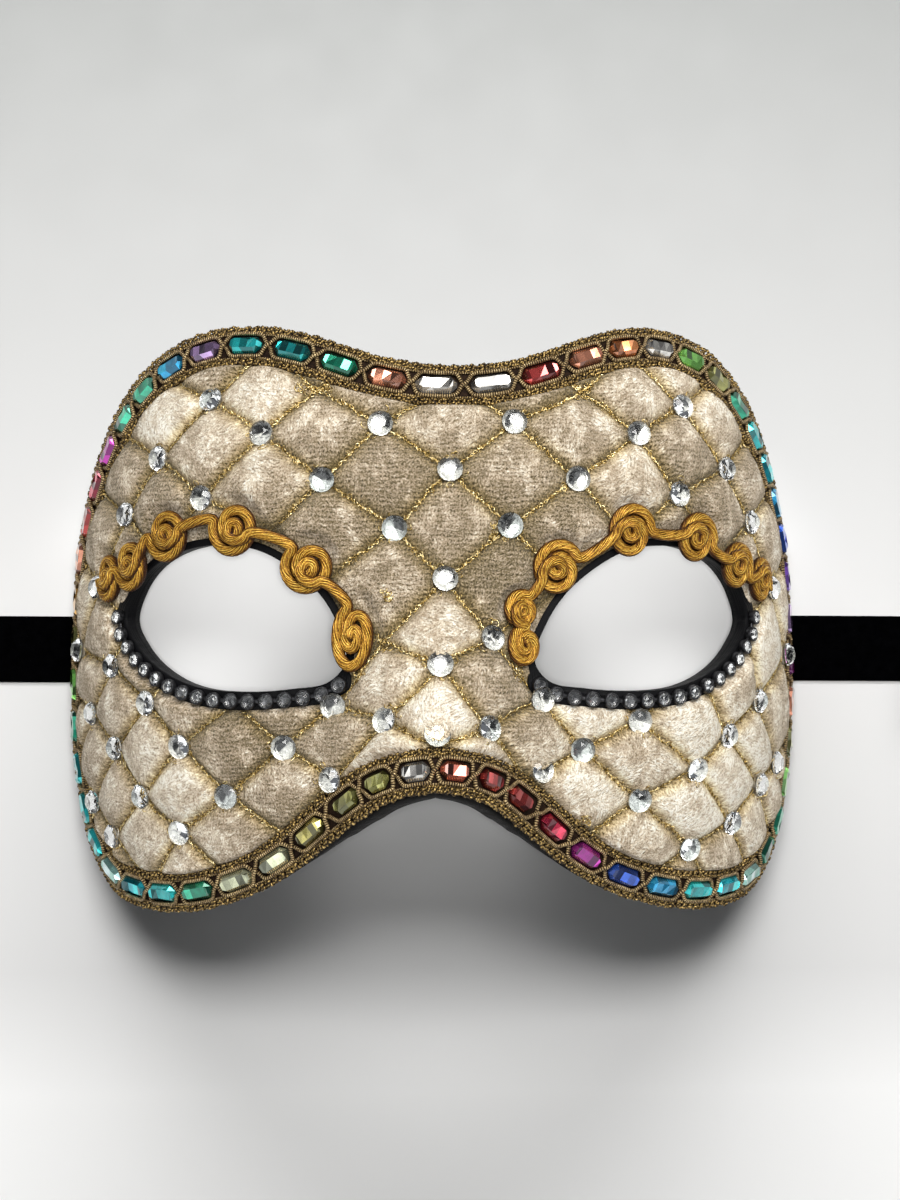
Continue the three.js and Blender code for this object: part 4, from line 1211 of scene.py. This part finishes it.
def make_braid():
    tape = Build()
    at = np.linspace(0, edge_rail.length, 700, endpoint=False)
    points = np.stack([on_face(edge_rail.read(at, w), h)[0] for w, h in TAPE_SECTION], 1)
    faces = grid_faces(len(at), len(TAPE_SECTION), True, True)
    tape.add(points, [f[::-1] for f in faces])
    make("braid_tape", tape, braid_ground, True, ["outer_braid"])

    def run(build, offset, height, radius, count, sides):
        gem = np.arange(count) * GEM_COUNT / count
        line, ups = on_face(edge_rail.read(beside_gem(gem), offset(gem)), height(gem))
        tube(build, line, ups, radius, sides, closed=True)

    # Two wrapped cords that part round each gem and cross between gems
    cords = Build()
    for sign in (1, -1):
        def offset(gem):
            from_crossing = np.abs((gem % 1) - 0.5)
            apart = smoothstep(from_crossing, 0.0, 0.16)
            hand = np.where(np.floor(gem + 0.5) % 2 == 0, sign, -sign)
            narrow = 1 - 0.12 * smoothstep(from_crossing, 0.25, 0.12)
            return BRAID_MIDDLE + hand * CORD_SWING * apart * narrow

        def height(gem):
            from_crossing = np.abs((gem % 1) - 0.5)
            near = 1 - smoothstep(from_crossing, 0.02, 0.14)
            over = np.where(np.floor(gem) % 2 == 0, sign, -sign)
            return 0.62 + near * (0.10 + 0.42 * over)
        run(cords, offset, height, CORD_RADIUS, 2400, 7)
    for w in (2.0, 7.55):
        run(cords, lambda gem: w, lambda gem: 0.15, SIDE_CORD_RADIUS, 1100, 5)
    make("braid_cords", cords, braid_cord)

    # Looped gimp along both edges
    edging = Build()
    for inner, outer in ((0.3, 1.75), (7.75, 9.15)):
        middle, half = (inner + outer) / 2, (outer - inner) / 2
        for turn in (0, 1):
            rate = 2 * math.pi * EDGING_LOOPS
            seed = 40 + turn + (5 if inner > 5 else 0)
            sway = wave_noise(np.c_[np.arange(3400) * 0.19, np.zeros(3400)], 2.0, seed)

            def offset(gem):
                return middle + half * np.sin(rate * gem + math.pi * turn) + 0.17 * sway

            def height(gem):
                weave = np.cos(rate * gem + math.pi * turn) * (1 - 2 * turn)
                return 0.14 + 0.30 * weave + 0.13 * np.roll(sway, 40)
            run(edging, offset, height, EDGING_RADIUS, 3400, 4)
    make("braid_edging", edging, braid_edging)

    # Foiled gems
    gems = Build()
    r = random.Random(17)
    for k, colour in enumerate(GEM_ROW):
        at = beside_gem(np.array([k - 0.13, k, k + 0.13, k - 0.5, k + 0.5]))
        behind, spot, ahead, first, last = edge_rail.read(at, BRAID_MIDDLE)
        normal = face_normal(*spot)
        along = seam_point(*ahead) - seam_point(*behind)
        along = unit(along - normal * along.dot(normal))
        place = seam_point(*spot), along, np.cross(normal, along), normal
        gem_solid(gems, place, 0.80 * math.dist(first, last), GEM_WIDTH, 0.0, GEM_HEIGHT,
                  GEM_COLOURS[colour], r)
    make("braid_gems", gems, gem_glass, False)


# Round the eyes
# Section of the satin binding: distance from the opening's edge, or share of the lap where it laps on
# to the face, height, and whether it laps
BINDING_SECTION = [
    (0.0, -4.2, 0), (0.5, -4.2, 0), (0.5, -0.86, 0), (1.0, -0.86, 1), (1.0, -0.5, 1),
    (0.93, -0.36, 1), (0.7, -0.33, 1), (0.3, -0.36, 1), (0.08, -0.30, 1), (0.0, -0.45, 0),
    (-0.02, -0.9, 0), (0.02, -1.8, 0), (0.0, -3.0, 0)]


def make_binding(side, name):
    build = Build()
    at = np.linspace(0, eye_rail.length, 340, endpoint=False)
    rim = eye_rail.read(at)
    lap = 4.0 - 2.3 * upper_rim(rim)
    ripple = 0.07 * np.sin(at * 2 * math.pi / 3.1 + 2 * np.sin(at * 0.37)) * (1 - upper_rim(rim))
    rings, places = [], []
    for k, (w, h, laps) in enumerate(BINDING_SECTION):
        wide = w * lap if laps else w
        if laps and w < 0.2:
            wide = 0.12
        sway = ripple * (k in (6, 7)) + ripple * 0.6 * (k in (10, 11))
        p = eye_rail.read(at, wide + (sway if not laps else 0))
        rings.append(face_point(side * p[:, 0], p[:, 1], h + (sway if laps else 0) + 0 * at))
        places.append(np.c_[at, 0.6 * k + 0 * at, 0 * at])
    faces = grid_faces(len(at), len(BINDING_SECTION), True, True)
    if side > 0:
        faces = [f[::-1] for f in faces]
    build.add(np.stack(rings, 1), faces, np.stack(places, 1))
    return make("satin_binding_" + name, build, binding_satin, True,
                ["eye_binding_" + name])


GIMP_RADIUS = 1.3
GIMP_STRANDS = 12
GIMP_STEP = 0.42
GIMP_LAY = 14.0
# One scroll of the gimp: turn in degrees from the way it runs, reach and lift. It comes in from
# behind, goes round once, winds in, and leaves forwards over its own coils
SCROLL = [(168, 1.10, 0.3), (195, 1.05, 0.1), (270, 1.03, 0), (400, 1.02, 0), (440, 0.94, 0),
          (480, 0.77, 0), (520, 0.59, 0), (560, 0.50, 0.05), (640, 0.46, 0.1), (760, 0.40, 0.15),
          (820, 0.28, 0.35), (880, 0.14, 0.6), (945, 0.16, 0.9), (1005, 0.42, 1.3),
          (1045, 0.74, 1.35), (1082, 1.10, 1.0)]
SCROLL_STEPS = [168, 195, *range(225, 946, 30), 975, 1005, 1025, 1045, 1064, 1082]
# Steps by which a scroll goes out of its rosette again; the one at the nose ends inside it
STEPS_OUT = 5


def scroll_line(rosettes, side):
    """Places and lifts of the gimp's middle, as it runs through its rosettes to the nose."""
    middles, sizes = np.split(np.array(rosettes, float), 2, axis=1)
    turns, reaches, lifts = np.array(SCROLL).T
    last = len(rosettes) - 1
    line = []
    for k, (middle, size) in enumerate(zip(middles, sizes - GIMP_RADIUS)):
        ahead = unit(middles[min(k + 1, last)] - middles[max(k - 1, 0)])
        away = -side * np.array([ahead[1], -ahead[0]])
        for turn in SCROLL_STEPS if k < last else SCROLL_STEPS[:-STEPS_OUT]:
            a = math.radians(turn)
            spot = np.interp(turn, turns, reaches) * (ahead * math.cos(a) + away * math.sin(a))
            line.append([*(middle + spot * size), np.interp(turn, turns, lifts)])
    return np.array(line)


def smooth_line(points, per_span):
    """A soft line through points, as evenly spaced points."""
    pts = np.concatenate([points[:1] * 2 - points[1:2], points, points[-1:] * 2 - points[-2:-1]])
    line = []
    for k in range(1, len(pts) - 2):
        line += soft_span(*pts[k - 1:k + 3], per_span)
    return np.array(line)


def make_gimp(side, name, rosettes):
    build = Build()
    line = smooth_line(scroll_line(rosettes, side), 6)
    line = resample(line, int(walk(line[:, :2])[-1] / GIMP_STEP))
    middle, ups = on_face(line[:, :2] * [side, 1], 1.1 + line[:, 2])
    along = unit(np.gradient(middle, axis=0))
    across = unit(np.cross(along, ups))
    up = np.cross(across, along)
    walked = np.arange(len(line)) * GIMP_STEP
    # Strands laid round a core, with painted shade: each strand is tinted darker down the cord's
    # flanks and underside and lightest on top
    for strand in range(GIMP_STRANDS):
        angle = walked * 2 * math.pi / GIMP_LAY + strand * 2 * math.pi / GIMP_STRANDS
        offset = across * np.cos(angle)[:, None] + up * np.sin(angle)[:, None]
        open_to_light = 0.10 + 0.90 * smoothstep(np.sin(angle), 0.1, 0.95)
        tint = np.repeat(open_to_light[:, None] ** [0.9, 1.15, 1.5], 6, axis=0)
        tube(build, middle + offset, ups, 0.30, 6, start=strand * 1.7, tint=tint)
    # The core's dark tint is painted shade in the gaps between the strands
    tube(build, middle, ups, 0.95, 10, tint=(0.25, 0.17, 0.08))
    return make("scroll_gimp_" + name, build, gimp_gold, True, ["eye_gimp_" + name])


# Section of a cup, as reach and height; its stone is small and sits low in it
CUP_SECTION = [(1.55, -0.30), (1.70, -0.10), (1.70, 0.95), (1.62, 1.22), (1.45, 1.25), (1.36, 1.05),
               (1.36, 0.50)]
CHAIN_STONE = {"radius": 1.33, "low": 0.72, "height": 1.02, "table": 0.5}


def make_chain(side, name):
    at = np.linspace(0, eye_rail.length, 960, endpoint=False)
    line = eye_rail.read(at, 2.1)
    low = upper_rim(line) < 0.05
    start = int(np.where(low & ~np.roll(low, 1))[0][0])
    rail = Rail(np.roll(line, -start, axis=0)[:int(low.sum())], False)
    count = round(rail.length / CHAIN_PITCH)
    spots = rail.read((np.arange(count) + 0.5) * rail.length / count) * [side, 1]
    cups, glass, foils = Build(), Build(), Build()
    r = random.Random(29 + side)
    for spot in spots:
        place = local_frame(spot, (r.gauss(0, 0.05), r.gauss(0, 0.05)))
        points = [polar(place, q, a, z) for q, z in CUP_SECTION for a in np.arange(16) * math.pi / 8]
        rings = len(CUP_SECTION)
        cups.add(points, grid_faces(rings, 16, True) + end_faces(rings, 16))
        stone_solid(foils, glass, place, turn=r.uniform(0, 0.8), **CHAIN_STONE)
    points, ups = on_face(resample(spots, count * 8), 0.1)
    tube(cups, points, ups, 0.5, 6, flat=0.7)
    make("chain_cups_" + name, cups, cup_metal, True, ["cup_chain_" + name])
    make("chain_foils_" + name, foils, foil, False)
    make("chain_crystals_" + name, glass, crystal, False).visible_shadow = False


# Ribbons
RIBBON_STEP = 1.1


def make_ribbon(side, name):
    """From its glued end inside the temple, under the shell's edge, along the table to its folds."""
    edges = np.linspace(-RIBBON_WIDTH / 2, RIBBON_WIDTH / 2, 17)
    low = RIBBON_THICKNESS / 2 + 0.03
    route = []
    edge = landing(RIBBON_Y)
    for back in (15, 12, 9, 6, 4):
        p = face_point(edge - back, RIBBON_Y, SHELL_INSIDE - 0.55)
        route.append((p[0], p[2]))
    x, z = route[-1]
    route += [(x + 0.45, z - 1.4), (x + 1.1, 0.42), (x + 2.6, low), (91, low), (97, low),
              (104, low), (111, low)]
    for k in range(RIBBON_LAYERS):
        level = low + k * RIBBON_PITCH
        near, far = RIBBON_FOLDS_FROM + 0.6, RIBBON_FOLDS_FROM + RIBBON_FOLD - 0.6
        a, b = (near, far) if k % 2 == 0 else (far, near)
        route += [(a + (b - a) * q, level + 0.1 * math.sin(math.pi * q)) for q in
                  (0, 0.2, 0.5, 0.8, 1)]
        if k < RIBBON_LAYERS - 1:
            route.append((b + (0.42 if b > a else -0.42), level + RIBBON_PITCH / 2))
    route = np.array(route)
    dense = resample(route, int(walk(route)[-1] / RIBBON_STEP))
    for _ in range(2):
        dense[1:-1] = (dense[:-2] + 2 * dense[1:-1] + dense[2:]) / 4
    dense[:, 1] = np.maximum(dense[:, 1], low)
    along = unit(np.gradient(dense, axis=0))
    normal = np.c_[-along[:, 1], along[:, 0]]
    walked = walk(dense)
    build = Build()
    grids, places = [], []
    for face in (0.5, -0.5):
        thick = RIBBON_THICKNESS * face
        for w in edges:
            # The two outermost lines are thinner, which rounds the ribbon's edges
            x, z = (dense + normal * thick * (1.0 if abs(w) < 7.6 else 0.8)).T
            y = RIBBON_Y + w + 0.15 * np.sin(walked * 0.05 + side)
            grids.append(np.stack([side * x, y + 0 * x, np.maximum(z, 0.02)], -1))
            places.append(np.c_[walked, w + 0 * walked, 0 * walked])
    points = np.stack(grids, 1)
    n = len(grids)
    order = list(range(len(edges))) + list(range(n - 1, len(edges) - 1, -1))
    points = points[:, order]
    places = np.stack(places, 1)[:, order]
    faces = grid_faces(len(dense), n, True) + end_faces(len(dense), n)
    if side < 0:
        faces = [f[::-1] for f in faces]
    build.add(points, faces, places)
    piece = make("tie_ribbon_" + name, build, ribbon_satin, True,
                 ["ribbon_" + name, "ribbon_" + name + "_folds"])
    return piece


# Floor, light and camera
FLOOR_HALF = 3.0
CAMERA_FOV = math.radians(35.53)
CAMERA_TILT = math.radians(-2.2)
CAMERA_PLACE = (-0.0138, SHIFT_Y / 1000, 0.4598)


def make_stage():
    floor_mesh = bpy.data.meshes.new("floor")
    half = FLOOR_HALF
    floor_mesh.from_pydata([(-half, -half, 0), (half, -half, 0), (half, half, 0), (-half, half, 0)],
                           [], [(0, 1, 2, 3)])
    floor = bpy.data.objects.new("floor", floor_mesh)
    bpy.context.scene.collection.objects.link(floor)
    t = Tree("pale_floor")
    place = t.object_place()
    grain = t.noise(place, 60, 3, 0.5)
    # Painted shade: the floor is pale at the front and grows grey towards the back, standing in for
    # the light's falloff
    painted_falloff = t.levels(t.split(place)[1], -0.14, 0.16, 0.0, 1.0)
    colour = t.ramp(painted_falloff, [(0.08, (0.95, 0.945, 0.93)), (0.18, (0.73, 0.725, 0.715)),
                           (0.48, (0.70, 0.695, 0.685)), (1.0, (0.32, 0.325, 0.315))])
    t.set(Base_Color=colour, Roughness=t.levels(grain, 0.3, 0.7, 0.55, 0.65))
    floor_mesh.materials.append(t.material)
    return floor


def aim_lamp(name, lamp, place, target, power, colour, lit):
    lamp.energy = power
    lamp.color = colour
    box = bpy.data.objects.new(name, lamp)
    bpy.context.scene.collection.objects.link(box)
    box.location = place
    direction = Vector(target) - Vector(place)
    box.rotation_euler = direction.to_track_quat("-Z", "Y").to_euler()
    box.light_linking.receiver_collection = lit
    return box


def softbox(name, place, target, size, power, colour, lit):
    lamp = bpy.data.lights.new(name, "AREA")
    lamp.shape = "RECTANGLE"
    lamp.size, lamp.size_y = size
    return aim_lamp(name, lamp, place, target, power, colour, lit)


def opening_light(name, x, y, angle, power, lit):
    """Light that falls past the mask, through an opening of it, on to the floor."""
    lamp = bpy.data.lights.new(name, "SPOT")
    lamp.spot_size, lamp.spot_blend, lamp.shadow_soft_size = math.radians(angle), 0.9, 0.012
    return aim_lamp(name, lamp, (-0.0138, 0.0049, 0.46), (x, y, 0), power, (1, 1, 1), lit)


def make_camera():
    lens = bpy.data.cameras.new("camera")
    lens.sensor_fit = "VERTICAL"
    lens.angle_y = CAMERA_FOV
    lens.clip_start = 0.01
    camera = bpy.data.objects.new("camera", lens)
    bpy.context.scene.collection.objects.link(camera)
    camera.location = CAMERA_PLACE
    camera.rotation_euler = (0, CAMERA_TILT, 0)
    bpy.context.scene.camera = camera


make_camera()
floor = make_stage()
pieces = []
make_shell()
make_velvet()
make_stitching()
make_curls()
make_stones()
make_braid()
for side, name, rosettes in ((-1, "left", LEFT_ROSETTES), (1, "right", RIGHT_ROSETTES)):
    make_binding(side, name)
    make_gimp(side, name, rosettes)
    make_chain(side, name)
    make_ribbon(side, name)

lit_mask = bpy.data.collections.new("lit_mask")
lit_floor = bpy.data.collections.new("lit_floor")
lit_floor.objects.link(floor)
for piece in pieces:
    lit_mask.objects.link(piece)
softbox("key", (0.10, 0.38, 0.62), (0, -0.02, 0.03), (0.50, 0.40), 6.2, (1.0, 0.985, 0.96), lit_mask)
softbox("fill", (-0.35, -0.45, 0.75), (0, 0, 0.03), (0.9, 0.9), 2.1, (0.96, 0.98, 1.0), lit_mask)
sky = softbox("sky", (0.0, 0.0, 1.0), (0, 0, 0), (2.0, 2.0), 13.0, (0.97, 0.98, 1.0), lit_mask)
sky.visible_glossy = sky.visible_transmission = False
softbox("back", (0.0, 2.35, 0.95), (0, 0, 0), (3.0, 0.6), 112.0, (1.0, 1.0, 1.0), lit_floor)
softbox("top", (0.0, 0.42, 0.76), (0, 0, 0), (0.45, 0.25), 6.2, (1.0, 1.0, 1.0), lit_floor)
opening_light("left_eye_light", -0.054, 0.009, 10, 5.6, lit_floor)
opening_light("right_eye_light", 0.054, 0.009, 10, 5.6, lit_floor)
opening_light("notch_light", -0.002, -0.056, 9, 1.3, lit_floor)


def make_world():
    """A room of dark and bright patches, so that glass and foil sparkle."""
    world = bpy.data.worlds.new("room")
    bpy.context.scene.world = world
    world.use_nodes = True
    nodes, links = world.node_tree.nodes, world.node_tree.links
    place = nodes.new("ShaderNodeTexCoord").outputs["Generated"]
    patches = nodes.new("ShaderNodeTexVoronoi")
    patches.inputs["Scale"].default_value = 3.2
    links.new(place, patches.inputs["Vector"])
    shade = nodes.new("ShaderNodeSeparateColor")
    links.new(patches.outputs["Color"], shade.inputs["Color"])
    ramp = nodes.new("ShaderNodeValToRGB")
    ramp.color_ramp.elements[0].position = 0.62
    ramp.color_ramp.elements[0].color = (0.07, 0.075, 0.085, 1)
    ramp.color_ramp.elements[1].position = 0.72
    ramp.color_ramp.elements[1].color = (0.95, 0.98, 1.0, 1)
    links.new(shade.outputs[0], ramp.inputs["Fac"])
    background = nodes["Background"]
    links.new(ramp.outputs["Color"], background.inputs["Color"])
    background.inputs["Strength"].default_value = 1.3
    world.cycles_visibility.diffuse = False


make_world()
bpy.context.scene.view_settings.view_transform = "Standard"
